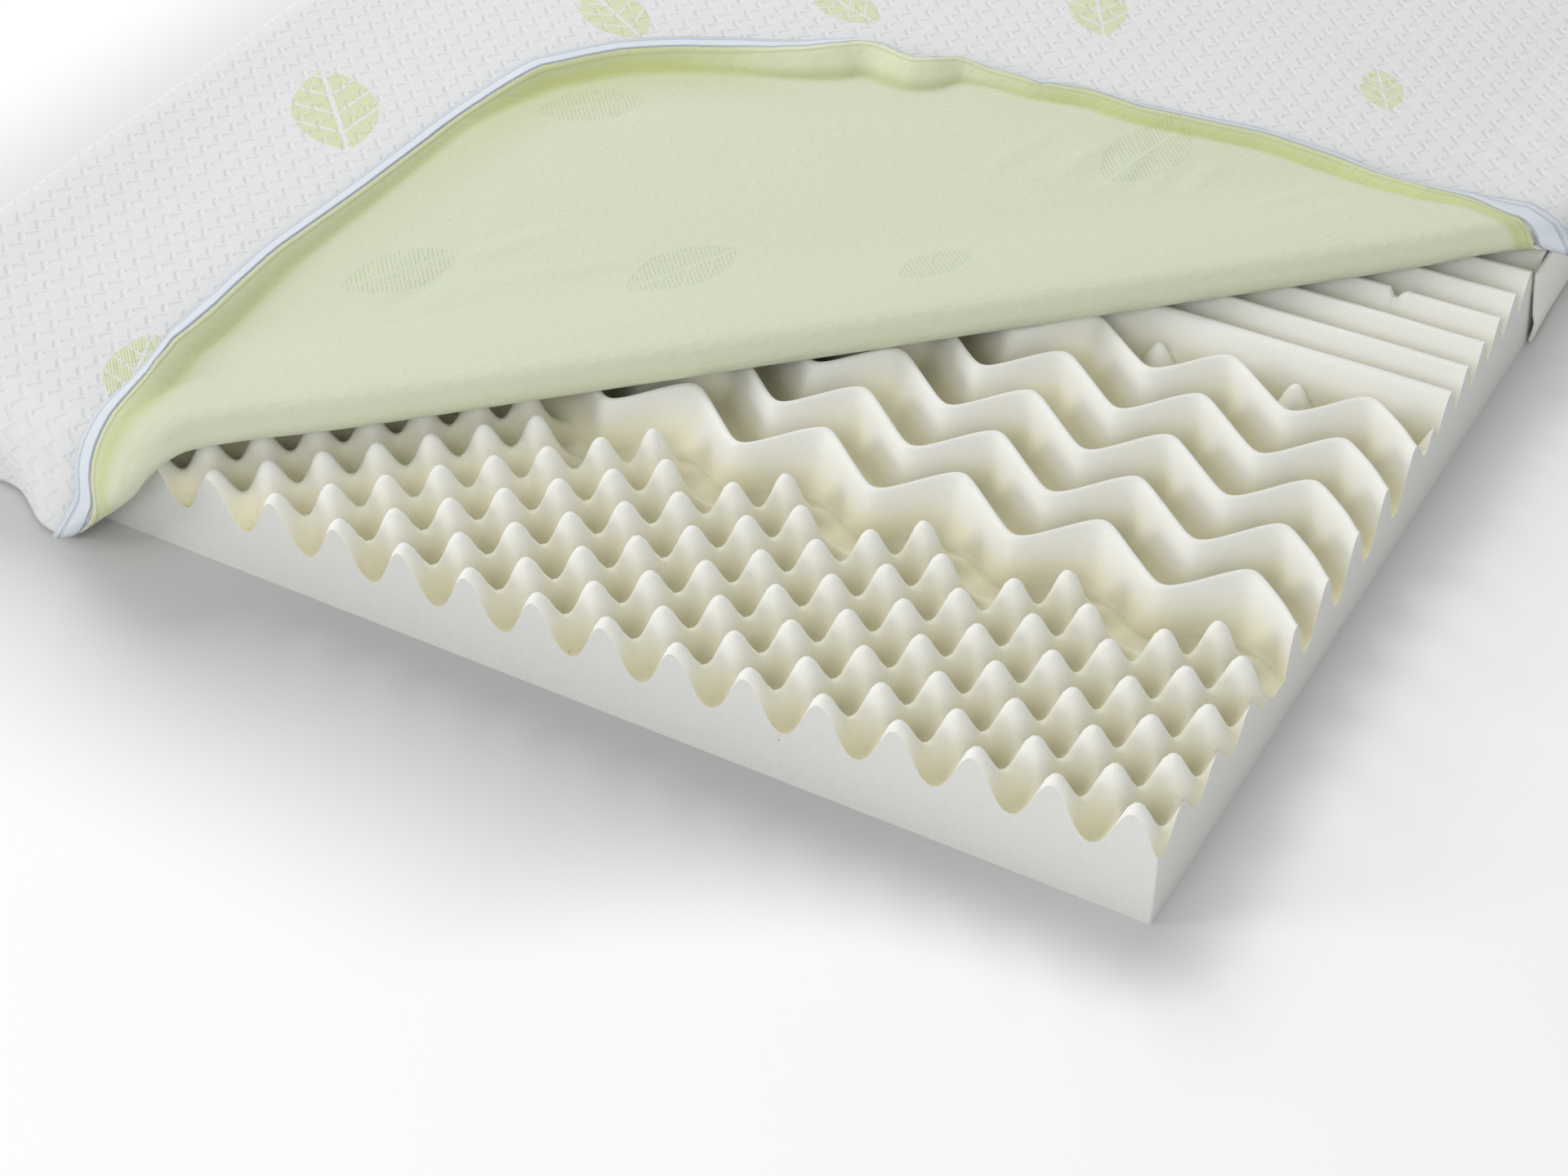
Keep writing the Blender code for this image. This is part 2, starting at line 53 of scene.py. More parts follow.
# --- foam core ---
WIDTH = foam_high.x - foam_low.x
LENGTH = foam_high.y - foam_low.y
CREST = 0.0675
PITCH = 0.0455  # from peg to peg across the slab
ROW_PITCH = 0.0458  # from peg to peg along the slab; rows half a pitch on are set off by half
FIRST_COLUMN = 0.0155
FIRST_ROW = 0.005
PEG_VALLEY = 0.032
PEG_SHARPNESS = 1.35
PEG_TIP = 0.25  # share of a peg's height over which its tip is rounded off
PEG_ROWS = 8
THIN_OUT = (0.45, 0.15)  # every second peg goes between these shares of a row before the last
LAST_PEGS = FIRST_ROW + (PEG_ROWS - 1) * ROW_PITCH / 2
RIDGE_VALLEY = 0.030
RIDGE_SHARPNESS = 1.2
FIRST_RIDGE = 0.1965
RIDGE_PITCH = 0.0465
RIDGES = 5
LAST_RIDGE = FIRST_RIDGE + (RIDGES - 1) * RIDGE_PITCH
ZIGZAG = 0.0185
ZIGZAG_ROUNDING = 0.90  # nearer 1 for sharper bends
ZIGZAG_SHIFT = (0.0012, 0.0032)  # the bends stand off to the right by this, and the front ones by more
MINI_PEG_ROW = 0.4025
MINI_PEG_TOP = 0.060
MINI_PEG_RADIUS = 0.019
FIRST_MINI_PEG = FIRST_COLUMN + 1.6 * PITCH
FIRST_RIB = 0.429
RIB_PITCH = 0.0296
RIB_LAND = 0.002
RIB_DEPTH = 0.026
RELIEF_WIDTH = 0.715
RELIEF_LENGTH = 0.680
RUN_OUT = (0.045, 0.080)  # the relief runs out between these distances behind the fold
RISE = (
    # distance from the right side, how much the front of the top stands higher there
    (0.0, 0.0090), (0.06, 0.0080), (0.11, 0.0060), (0.15, 0.0044), (0.20, 0.0028), (0.24, 0.0014),
    (0.285, 0.0), (0.40, -0.0020), (0.52, -0.0022), (0.60, 0.0),
)
RISE_SHARE = (
    # distance from the front side, share
    (0.0, 1.0), (0.028, 0.75), (0.051, 0.58), (0.074, 0.45), (0.097, 0.37), (0.142, 0.20), (0.20, 0.0),
)
FOAM_STEP = 0.0030  # the fine mesh's cells
RIB_FOOT = 0.012  # it has a line this far before the first rib
PLAIN_COLUMNS = (0.76, 0.83)  # and these beyond the relief
PLAIN_ROWS = (0.75, 0.90, 1.20, 1.50, 1.80)
FILLET = 0.004  # rounding where two kinds of relief meet
UNEVEN_WAVES = ((61, 17, 0.6), (23, -47, 0.0))  # radians per metre along x and y, and start
UNEVEN = 0.0006  # the cut surface sinks by up to this much here and there
NICK = ((-0.0675, 0.5165), (0.0045, 0.008), 0.006)  # place, half size and depth of a nick in a rib

# --- cover ---
CLOTH = 0.0025
SEAT = 0.0004
EDGE_LOFT = 0.0036
EDGE_LOFT_WIDTH = 0.070
EDGE_RADIUS = 0.020
BORDER_STAND = 0.012
INSET = EDGE_RADIUS - BORDER_STAND
BORDER = 0.0732
FOLD_FRONT = 0.646
FOLD_SIDE = 0.613
ROLL_RADIUS = 0.011
ROLL_RADIUS_END = 0.0060
ROLL_ENDS = ((-0.60, -0.42), (0.33, 0.52))  # between these places along the fold it tightens
FOOT_BEND = 0.009
SIDE_BEND = 0.008
BENDS = ((-0.52, -0.40), (0.36, 0.46))  # between these places along it the fold bends
FLAP_REST = 0.0047
FLAP_SETTLE = 0.110
FRONT_DRAW = 0.020
FRONT_DRAW_END = 0.030
FRONT_SHARE = (
    # distance from the corner, share
    (0.44, 0.0), (0.50, 0.2), (0.546, 0.6), (0.58, 0.9), (0.62, 1.0), (0.655, 0.85),
    (0.69, 0.25), (0.705, 0.0),
)
SIDE_DRAW = 0.042
SIDE_DRAW_START = -0.120
SIDE_SHARE = (
    # the same
    (0.535, 1.0), (0.570, 1.30), (0.592, 1.70), (0.630, 1.65), (0.720, 0.80), (0.820, 0.0),
)
CORNER_ROUND = 0.300
CORNER_HEM_START = 0.050
CORNER_HEM = (
    # angle from across, reach
    (0, 1.00), (10, 0.90), (22, 0.835), (36, 0.85), (50, 0.92), (60, 0.99),
    (70, 1.03), (80, 1.01), (90, 1.00),
)
HEM_SHIFT = (
    # place along the fold, how far the hem stands further out there
    (-0.530, 0.000), (-0.463, 0.004), (-0.438, 0.016), (-0.412, 0.010), (-0.362, 0.016),
    (-0.300, 0.018), (-0.225, 0.023), (-0.150, 0.018), (-0.062, 0.021), (-0.013, 0.018),
    (0.028, 0.024), (0.040, 0.030), (0.052, 0.029), (0.076, 0.011), (0.088, 0.011), (0.106, 0.019),
    (0.122, 0.010), (0.150, -0.006), (0.175, -0.021), (0.200, -0.012), (0.225, -0.014),
    (0.287, 0.000), (0.325, -0.003), (0.372, -0.018), (0.404, -0.017), (0.418, 0.000),
)
HEM_SHIFT_WIDTH = 0.070
HEM_STEP = 0.012
HEM_BEYOND = (0.05, 0.08)  # the hem's line goes on past the tape's two ends
BAND = (
    # place along the fold, rise of the hem over the flap, width of its slope, drop of the tape beyond
    (-0.560, 0.000, 0.010, 0.000), (-0.500, 0.003, 0.008, 0.004), (-0.460, 0.013, 0.016, 0.006),
    (-0.425, 0.012, 0.014, 0.005), (-0.330, 0.008, 0.010, 0.004), (-0.240, 0.005, 0.008, 0.003),
    (-0.180, 0.011, 0.012, 0.001), (-0.040, 0.012, 0.014, -0.001), (0.030, 0.017, 0.018, 0.004),
    (0.094, 0.015, 0.016, 0.011), (0.130, 0.008, 0.010, 0.009), (0.330, 0.007, 0.009, 0.006),
    (0.430, 0.002, 0.009, 0.001), (0.600, 0.000, 0.009, 0.000),
)
BAND_TINT = (
    # place along the fold, how much the band is greener than the flap and darker by painted shade, how
    # far the green and its painted shade spread, and how strong the panel's painted light and the
    # crease's painted shade are
    (-0.50, 0.60, 0.1, 0.0), (-0.34, 0.50, 0.2, 0.0), (-0.22, 0.62, 0.7, 0.0), (-0.16, 0.95, 1.0, 0.0),
    (-0.08, 1.00, 1.0, 0.0), (-0.04, 0.75, 0.8, 0.4), (0.00, 0.20, 0.2, 1.0), (0.10, 0.15, 0.0, 1.0),
    (0.14, 0.60, 0.0, 0.2), (0.17, 0.80, 0.0, 0.0), (0.45, 0.80, 0.0, 0.0),
)
CURL = 1.6  # where the green spreads the band rises late, over this many times its width
BAND_ROUNDING = 1.6
DROP_ROUNDING = 1.5
FLAP_START = 0.060
CORNER_STAND = 0.0022
HEM_TUCK = 0.0080
CORNER_LENGTH = 0.100
FOOT_WIDTH = 0.090
FOOT_FLARE = 0.016
FOOT_FLARE_FROM = 0.712
FOOT_FLARE_WIDTH = 0.052
NEAR_FOLD = (0.78, 0.85)
CLOTH_STEP = 0.0052  # the fine mesh's cells near the fold
HEM_ZONE = 0.026  # and finer ones this far from the hem
HEM_CELL = 0.0022
FAR_CELL = (0.015, 0.025)  # larger ones on the rest, along x and y
FAR_MARGIN = 0.020  # but for this far from the slab's far sides

CREASE_ROUNDING = 0.7
FLAP_CREASES = (
    # both ends where they lie on the flap, half width and rise of a soft ridge
    (-0.636, 0.196, -0.622, 0.262, 0.012, 0.0012), (-0.606, 0.178, -0.596, 0.258, 0.011, -0.0016),
    (-0.594, 0.169, -0.544, 0.230, 0.010, -0.0010), (-0.582, 0.222, -0.489, 0.316, 0.013, 0.0013),
    (-0.600, 0.285, -0.502, 0.379, 0.012, -0.0010), (-0.614, 0.214, -0.555, 0.332, 0.012, 0.0012),
    (-0.631, 0.094, -0.518, 0.201, 0.014, 0.0008), (-0.540, 0.120, -0.370, 0.330, 0.016, 0.0007),
    (-0.355, 0.502, -0.335, 0.573, 0.009, 0.0010), (-0.310, 0.521, -0.298, 0.584, 0.008, 0.0012),
    (-0.288, 0.520, -0.284, 0.588, 0.008, -0.0010), (-0.271, 0.525, -0.269, 0.587, 0.008, 0.0014),
    (-0.249, 0.528, -0.246, 0.595, 0.008, 0.0013), (-0.225, 0.541, -0.220, 0.598, 0.008, 0.0012),
    (-0.183, 0.537, -0.141, 0.601, 0.010, 0.0012), (-0.156, 0.527, -0.105, 0.596, 0.010, 0.0010),
)
CREASES = (
    # the same of the part that isn't turned back, on the cut cloth
    (-0.089, 0.705, -0.034, 0.687, 0.009, 0.0014), (-0.066, 0.732, -0.018, 0.714, 0.009, 0.0013),
    (-0.114, 0.718, -0.065, 0.728, 0.010, 0.0010), (-0.050, 0.668, -0.004, 0.650, 0.009, 0.0014),
    (-0.095, 0.770, -0.040, 0.752, 0.010, 0.0009), (-0.736, -0.012, -0.714, -0.060, 0.009, 0.0018),
    (-0.762, -0.018, -0.742, -0.062, 0.010, 0.0014), (-0.716, -0.004, -0.700, -0.040, 0.008, 0.0014),
    (-0.790, -0.008, -0.778, -0.056, 0.012, 0.0009),
)

# --- zip tape and lower cover edge ---
TAPE = 0.0012
TAPE_WIDTH = 0.015
TAPE_GAP = 0.0018
TAPE_START = -0.688
TAPE_END = 0.600
TAPE_LINES = ((0.0019, 0.0006), (0.0110, 0.0010))  # middle and half width of the lines along it
TAPE_COIL = 0.0016  # from tooth to tooth of the coil
TAPE_CELL = 0.0012
EDGE_CLOTH = 0.0020
EDGE_START = 0.598
EDGE_START_LENGTH = 0.05
EDGE_SLANT = -0.016
EDGE_END = 0.840
EDGE_CELL = 0.003
EDGE_LEAN = (
    # height, how far the cloth's middle stands off the foam at the strip's start
    (0.0015, 0.0026), (0.012, 0.0044), (0.020, 0.0052),
    (0.028, 0.0036), (0.045, 0.0028), (0.064, 0.0026),
)

# --- pattern of the knit ---
TILE = (0.0164, 0.0162)  # repeat of the embossed dashes along x and y
DASH_ACROSS = (0.0072, 0.0140)  # middle of the dash that runs to back right, in the repeat
DASH_DOWN = (0.0030, 0.0062)  # and of the one that runs to front right
DASH = (0.0050, 0.0013)  # half length and half width of a dash
DASH_END = (0.0012, 0.0008)  # it runs out from this far before its end to this far beyond
DASH_DEPTH = 0.00055
DASH_SHARE = 0.55  # at least this share of the depth, and more here and there
DASH_CLOUD = 0.012
WANDER = (0.025, 0.0024)  # the rows of dashes wander over this length, by this much
PADS = (0.0075, 0.0005)  # size and height of the pads between the dashes
LOOPS = (0.0009, 0.0001)  # and of the knit's loops
DIAGONAL = 0.7071
LEAF_SHARE = 0.27  # half width over length
LEAF_ROUNDING = 0.8
LEAF_RIM = (-0.004, 0.010)  # all these over the leaf's length
MIDDLE_VEIN = (0.008, 0.022)
VEIN = (0.006, 0.020)
VEIN_SPACING = 0.115  # half the way from vein to vein
VEIN_START = 0.52
VEIN_SLANT = 0.9
HATCH_RIM = (0.12, 0.32)  # over the width of a stripe
HATCH_OUTSIDE = 0.0019
HATCH_INSIDE = 0.0030
LEAVES = (
    # middle x, middle y, direction of the tip in degrees, length; seen on the outside
    (-0.787, 0.368, 136, 0.112), (-0.708, 0.060, 115, 0.075), (-0.690, 0.577, 150, 0.085),
    (-0.548, 0.668, 160, 0.070), (-0.384, 0.752, 120, 0.080), (-0.163, 0.743, 118, 0.056),
)
FLAP_LEAVES = (
    # the same, of those that show through on the flap's inside, where they lie there
    (-0.625, 0.220, 60, 0.080), (-0.468, 0.308, 245, 0.085), (-0.325, 0.380, 70, 0.060),
    (-0.628, 0.452, 40, 0.075), (-0.268, 0.580, 80, 0.095),
)
LEAF_SEED = 7
LEAF_MARGIN = 0.030
LEAF_GRID = 0.185  # and one in each square of this size on the rest of the cloth
LEAF_SCATTER = 0.060  # up to this far from the square's corner
LEAF_LENGTHS = (0.06, 0.11)
LEAF_TURNS = (90, 170)
LEAF_APART = 0.140  # but none this near to another
LEAF_REACH = 0.75  # a leaf is drawn up to this far from its middle, over its length
TABLES_END = 0.900  # and only the tables' ones up to here

# --- looks: sizes in metres, colours linear, an ink is a colour and how much of it ---
FOAM_TIP = (0.825, 0.825, 0.785)
# painted shade: colour of the foam in its hollows
FOAM_DEEP_SHADE = (0.71, 0.68, 0.50)
# painted light: colour of the hollows under the fold
FOAM_DEEP_LIT_AT_FOLD = (0.89, 0.86, 0.67)
FOAM_DEPTHS = (0.004, 0.034)  # painted shade makes the foam darker and yellower between these depths under its crests
FOAM_FROM_FOLD = (0.02, 0.09)  # and painted light makes the hollows paler nearer to the fold
FOAM_CLOUD = (0.05, 0.006)  # size of its clouds, and what depth they are worth
# colours of the sawn sides: less cream than the top, and darker by painted shade
FOAM_CUT_SHADED = ((0.645, 0.65, 0.625), (0.695, 0.70, 0.675))
FOAM_GRAIN = (0.0011, 0.00016)  # size and height
CUT_GRAIN_HEIGHT = 0.0002
CUT_STREAK = (0.0022, 0.0004, 0.25)  # width, height and stretch of the sawn sides' upright grain
PORE = (0.03, 0.06)  # radius of a pore's floor and of its rim, over the distance between pores
PORE_APART = 0.011
PORE_CLOUD = 0.021  # they come only in clouds of about this size
PORE_CHOSEN = (0.62, 0.66)
PORE_DEPTH = 0.0006
# painted shade in the pores
PORE_SHADE_INK = ((0.42, 0.38, 0.28), 0.6)
WHITE = ((0.74, 0.75, 0.755), (0.77, 0.78, 0.785))
WHITE_CLOUD = 0.11
# painted shade in the dashes' grooves
GROOVE_SHADE_INK = ((0.66, 0.68, 0.70), 0.15)
LEAF_COLOUR = (0.67, 0.725, 0.36)
LEAF_TINT = (0.15, 0.85)  # between a leaf's stripes, and how much more on them
LEAF_RISE = 0.0002
LIME = ((0.64, 0.685, 0.52), (0.665, 0.705, 0.545))
LIME_CLOUD = 0.07
LIME_LEAF = (0.57, 0.65, 0.36)
LIME_LEAF_TINT = (0.06, 0.16)
LIME_LEAF_RISE = -0.00025
HALO = (0.012, 0.070)  # the green and painted shade beyond the band fade between these distances from the hem
HALO_TINT = (0.06, 0.66)  # everywhere, and how much more where the green spreads
HALO_SHADED_GREEN = (0.545, 0.59, 0.32)
BAND_SHADED_GREENS = ((0.60, 0.645, 0.36), (0.53, 0.575, 0.235))  # at the hem and at the band's foot: greener than the flap, and darker towards the foot by painted shade
BAND_COLOUR_STEP = (0.1, 0.95)  # this and the next three are over the band's width
BAND_FADE = (0.95, 1.75)
# painted light on the band's panel, between the hem and the crease
PANEL_LIGHT_FADE = (0.70, 1.0)
PANEL_LIGHT_INK = ((0.735, 0.775, 0.55), 0.75)
CREASE_SHADE_FADE = (1.05, 0.05, 0.45)  # middle of the crease, and how it fades on both sides; its ink is painted shade
CREASE_SHADE_INK = ((0.50, 0.55, 0.27), 0.55)
SEAM = (0.0032, 0.0002, 0.0007)  # the same of the seam, from the hem
SEAM_INK = ((0.47, 0.53, 0.22), 0.20)
SEAM_DEPTH = 0.0004
CREPE = (0.0035, 0.0007, 0.4)  # size, height and stretch of the inside's fine waves along the fold
SHOW_THROUGH = -0.14  # share of the outside's relief that shows on the inside, the other way up
TAPE_BLUE = ((0.66, 0.715, 0.77), (0.70, 0.75, 0.80))
TAPE_WEAVE = (0.0008, 0.0001, 0.2)  # size, height and stretch
TAPE_CORD = (0.0010, 0.0014)  # the white cord ends between these distances from the seam
TAPE_CORD_COLOUR = (0.78, 0.80, 0.79)
COIL_START = (0.0128, 0.0134)
COIL_INK = ((0.60, 0.66, 0.72), 0.3)
COIL_DEPTH = 0.0003
# painted shade in the tape's groove and in the line beside its cord
LINE_SHADE_INK = ((0.47, 0.53, 0.60), 0.6)
LINE_DEPTH = 0.0006
LINE_CORE = 0.4
LOWER_WHITE = ((0.74, 0.74, 0.69), (0.80, 0.80, 0.75))
LOWER_CLOUD = 0.03
LOWER_LOOPS = (0.0012, 0.0003)  # size and height

FOLD_LINE = Vector((FOLD_FRONT, FOLD_SIDE)).normalized()
FOLD_NORMAL = Vector((FOLD_SIDE, -FOLD_FRONT)).normalized()
FOLD_AXIS = FOLD_NORMAL.x * -FOLD_FRONT


def smooth(value, low, high):
    """0 below low, 1 above high, and a smooth step between."""
    step = np.clip((value - low) / (high - low), 0.0, 1.0)
    return step * step * (3 - 2 * step)


def blend(first, second, share):
    return first + (second - first) * share


def columns_of(value, table):
    """A table's columns but the first, each read at a value of the first."""
    first, *others = zip(*table)
    return [np.interp(value, first, other) for other in others]


def share_of(value, table):
    """The second column of a table of two, read at a value of the first."""
    return columns_of(value, table)[0]


def along_fold(x, y):
    return FOLD_LINE.x * x + FOLD_LINE.y * y


def behind_fold(x, y):
    """Distance from the fold's axis towards the covered side."""
    return FOLD_AXIS - FOLD_NORMAL.x * x - FOLD_NORMAL.y * y


def fine(lines, step):
    """The same mesh lines, with each gap between them parted into steps no longer than this."""
    parts = []
    for first, last in zip(lines[:-1], lines[1:]):
        count = int(np.ceil((last - first) / step - 0.001))
        parts += list(np.linspace(first, last, max(count, 1), endpoint=False))
    return np.array(parts + [lines[-1]])


# --- meshes ---
def grid_of(name, columns, rows):
    """A flat grid mesh, with the column value and the row value of each of its points."""
    bm = bmesh.new()
    bmesh.ops.create_grid(bm, x_segments=len(columns) - 1, y_segments=len(rows) - 1, size=0.5)
    mesh = bpy.data.meshes.new(name)
    bm.to_mesh(mesh)
    bm.free()
    flat = points_of(mesh)
    column = np.rint((flat[:, 0] + 0.5) * (len(columns) - 1)).astype(int)
    row = np.rint((flat[:, 1] + 0.5) * (len(rows) - 1)).astype(int)
    return mesh, columns[column], rows[row]


def points_of(mesh):
    flat = np.empty(len(mesh.vertices) * 3)
    mesh.vertices.foreach_get("co", flat)
    return flat.reshape(-1, 3)


def set_points(mesh, x, y, z):
    """Put a mesh's points at these slab coordinates."""
    placed = np.stack([x + SLAB.x, y + SLAB.y, z], axis=1)
    mesh.vertices.foreach_set("co", placed.ravel())
    mesh.update()


def set_attribute(mesh, name, *parts):
    """Keep three numbers at each point, for the materials to read."""
    made = mesh.attributes.new(name, "FLOAT_VECTOR", "POINT")
    made.data.foreach_set("vector", np.stack(parts, axis=1).ravel())


def add_object(name, data):
    obj = bpy.data.objects.new(name, data)
    bpy.context.scene.collection.objects.link(obj)
    return obj


def add_piece(mesh, *finishes):
    obj = add_object(mesh.name, mesh)
    for finish in finishes:
        mesh.materials.append(finish)
    mesh.shade_smooth()
    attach(obj, "root")
    return obj


def add_thickness(obj, thickness, inside=0):
    solidify = obj.modifiers.new("Thickness", "SOLIDIFY")
    solidify.thickness = thickness
    solidify.offset = 0.0
    solidify.use_even_offset = False
    solidify.material_offset = inside


# --- materials ---
class Finish:
    """One material's nodes, made with short calls that return the output of each."""

    def __init__(self, name, roughness, sheen=0.0):
        self.material = bpy.data.materials.new(name)
        self.material.use_nodes = True
        self.tree = self.material.node_tree
        self.shader = self.tree.nodes["Principled BSDF"]
        self.set("Roughness", roughness)
        self.set("Sheen Weight", sheen)
        self.set("Sheen Roughness", 0.5)
        self.set("Specular IOR Level", 0.25)

    def set(self, name, value):
        self.shader.inputs[name].default_value = value

    def node(self, kind):
        return self.tree.nodes.new("ShaderNode" + kind)

    def put(self, value, socket):
        """Link an output to a socket, or set the socket to a plain value or a colour."""
        if isinstance(value, bpy.types.NodeSocket):
            self.tree.links.new(value, socket)
        else:
            socket.default_value = (*value, 1.0) if isinstance(value, tuple) else value

    def feed(self, node, *values):
        for socket, value in zip(node.inputs, values):
            self.put(value, socket)
        return node.outputs[0]

    def attribute(self, name):
        node = self.node("Attribute")
        node.attribute_name = name
        return node.outputs["Vector"]

    def place(self):
        return self.node("TexCoord").outputs["Object"]

    def part(self, vector):
        node = self.node("SeparateXYZ")
        self.put(vector, node.inputs[0])
        return node.outputs

    def vector(self, x=0.0, y=0.0, z=0.0):
        return self.feed(self.node("CombineXYZ"), x, y, z)

    def math(self, operation, *values):
        node = self.node("Math")
        node.operation = operation
        return self.feed(node, *values)

    def add(self, *values):
        total = values[0]
        for value in values[1:]:
            total = self.math("ADD", total, value)
        return total

    def times(self, *values):
        product = values[0]
        for value in values[1:]:
            product = self.math("MULTIPLY", product, value)
        return product

    def minus(self, first, second):
        return self.math("SUBTRACT", first, second)

    def off(self, value, middle=0.0):
        """How far a value is from a middle, on either side."""
        return self.math("ABSOLUTE", self.minus(value, middle))

    def past(self, value, limit):
        """How far a value is above a limit, and 0 below it."""
        return self.math("MAXIMUM", self.minus(value, limit), 0.0)

    def wrap(self, value, half):
        """The value less whole repeats of twice this half, so that it lies around 0."""
        return self.math("WRAP", value, half, -half)

    def steps(self, value, low, high, first=0.0, last=1.0):
        """A smooth step from first at low to last at high."""
        node = self.node("MapRange")
        node.interpolation_type = "SMOOTHSTEP"
        return self.feed(node, value, low, high, first, last)

    def fade(self, value, low, high):
        """A smooth step down from 1 at low to 0 at high."""
        return self.steps(value, low, high, 1.0, 0.0)

    def noise(self, vector, size, detail=2.0):
        """Noise from 0 to 1 with features of about this size."""
        node = self.node("TexNoise")
        self.put(vector, node.inputs["Vector"])
        node.inputs["Scale"].default_value = 1 / size
        node.inputs["Detail"].default_value = detail
        return node.outputs["Fac"]

    def cells(self, vector, size):
        """Distance to the nearest of scattered points, in cells of about this size."""
        node = self.node("TexVoronoi")
        self.put(vector, node.inputs["Vector"])
        node.inputs["Scale"].default_value = 1 / size
        return node.outputs["Distance"]

    def mix(self, share, first, second):
        node = self.node("Mix")
        node.data_type = "RGBA"
        for name, value in (("Factor", share), ("A", first), ("B", second)):
            socket = next(s for s in node.inputs if s.name == name and s.enabled)
            self.put(value, socket)
        return next(s for s in node.outputs if s.enabled)

    def laid_on(self, under, ink, share):
        """The colour under it with an ink laid on."""
        colour, most = ink
        return self.mix(self.times(share, most), under, colour)

    def bump(self, height):
        """The height is in metres."""
        node = self.node("Bump")
        node.inputs["Strength"].default_value = 1.0
        node.inputs["Distance"].default_value = 1.0
        self.put(height, node.inputs["Height"])
        self.put(node.outputs[0], self.shader.inputs["Normal"])

    def colour(self, value):
        self.put(value, self.shader.inputs["Base Color"])


def foam_pores(made, place):
    """A few scattered pores, and the grain between them as a height."""
    grain = made.noise(place, FOAM_GRAIN[0], 3.0)
    pores = made.fade(made.cells(place, PORE_APART), *PORE)
    chosen = made.steps(made.noise(place, PORE_CLOUD), *PORE_CHOSEN)
    return made.times(pores, chosen), grain


def foam_finish():
    """Fine open-cell foam: whitest at the tips; painted shade makes it darker and yellower in its
    hollows, and painted light makes the hollows paler at the fold.
    """
    made = Finish("foam", roughness=0.9, sheen=0.1)
    made.set("Subsurface Weight", 0.50)
    made.set("Subsurface Scale", 0.005)
    made.set("Subsurface Radius", (1.0, 0.95, 0.75))
    place = made.place()
    depth, from_fold, unused = made.part(made.attribute("relief"))
    cloud_size, cloud_depth = FOAM_CLOUD
    cloud = made.minus(made.noise(place, cloud_size), 0.5)
    depth = made.add(depth, made.times(cloud, cloud_depth))
    # painted shade in the hollows, lifted by painted light near the fold
    deep_shade = made.mix(made.steps(from_fold, *FOAM_FROM_FOLD), FOAM_DEEP_LIT_AT_FOLD, FOAM_DEEP_SHADE)
    shaded_cream = made.mix(made.steps(depth, *FOAM_DEPTHS), FOAM_TIP, deep_shade)
    pores, grain = foam_pores(made, place)
    made.colour(made.laid_on(shaded_cream, PORE_SHADE_INK, pores))
    made.bump(made.add(made.times(grain, FOAM_GRAIN[1]), made.times(pores, -PORE_DEPTH)))
    return made.material


def foam_cut_finish():
    """The slab's sawn sides: less cream than the top, and darker by painted shade, with an upright
    grain.
    """
    made = Finish("foam_cut", roughness=0.95, sheen=0.1)
    place = made.place()
    x, y, z = made.part(place)
    width, height, stretch = CUT_STREAK
    streak = made.noise(made.vector(x, y, made.times(z, stretch)), width, 3.0)
    pores, grain = foam_pores(made, place)
    made.colour(made.laid_on(made.mix(streak, *FOAM_CUT_SHADED), PORE_SHADE_INK, pores))
    rough = made.add(made.times(grain, CUT_GRAIN_HEIGHT), made.times(streak, height))
    made.bump(made.add(rough, made.times(pores, -PORE_DEPTH)))
    return made.material


def knit_relief(made, cut):
    """Height of the knit: grooved dashes in two directions, the soft pads between, and fine loops."""
    x, y, unused = made.part(cut)
    length, reach = WANDER
    x = made.add(x, made.times(made.minus(made.noise(cut, length), 0.5), reach))
    half_length, half_width = DASH
    ends = (half_length - DASH_END[0], half_length + DASH_END[1])
    dashes = []
    for (middle_x, middle_y), turn in ((DASH_ACROSS, 1), (DASH_DOWN, -1)):
        local_x = made.wrap(made.minus(x, middle_x), TILE[0] / 2)
        local_y = made.times(made.wrap(made.minus(y, middle_y), TILE[1] / 2), turn)
        run = made.off(made.times(made.add(local_x, local_y), DIAGONAL))
        aside = made.off(made.times(made.minus(local_x, local_y), DIAGONAL))
        along = made.fade(run, *ends)
        dashes.append(made.times(along, made.fade(aside, 0.0, half_width * 2)))
    groove = made.math("MAXIMUM", *dashes)
    depth = made.times(groove, made.add(DASH_SHARE, made.noise(cut, DASH_CLOUD)), -DASH_DEPTH)
    flat = made.vector(x, y, 0.0)
    pads, loops = (made.times(made.noise(flat, size, 1.0), rise) for size, rise in (PADS, LOOPS))
    return made.add(depth, pads, loops), groove


def leaf_share(made, hatch_width):
    """Where a leaf is drawn: its outline, less its veins, and its fine stripes."""
    along, across, near = made.part(made.attribute("leaf"))
    x, y, unused = made.part(made.attribute("cut"))
    side = made.off(across)
    end = made.times(along, 2.0)
    lens = made.math("POWER", made.past(1.0, made.times(end, end)), LEAF_ROUNDING)
    inside = made.steps(made.minus(made.times(lens, LEAF_SHARE), side), *LEAF_RIM)
    middle_vein = made.steps(side, *MIDDLE_VEIN)
    branch = made.wrap(made.add(along, made.times(side, -VEIN_SLANT), VEIN_START), VEIN_SPACING)
    veins = made.steps(made.off(branch), *VEIN)
    stripe = made.wrap(made.times(made.add(x, y), DIAGONAL / hatch_width), 0.5)
    hatch = made.steps(made.off(stripe), *HATCH_RIM)
    return made.times(inside, middle_vein, veins, near), hatch


def leaf_tint(made, leaf, hatch, tint):
    """How much a leaf colours the cloth, between its stripes and on them."""
    between, more = tint
    return made.times(leaf, made.add(between, made.times(hatch, more)))


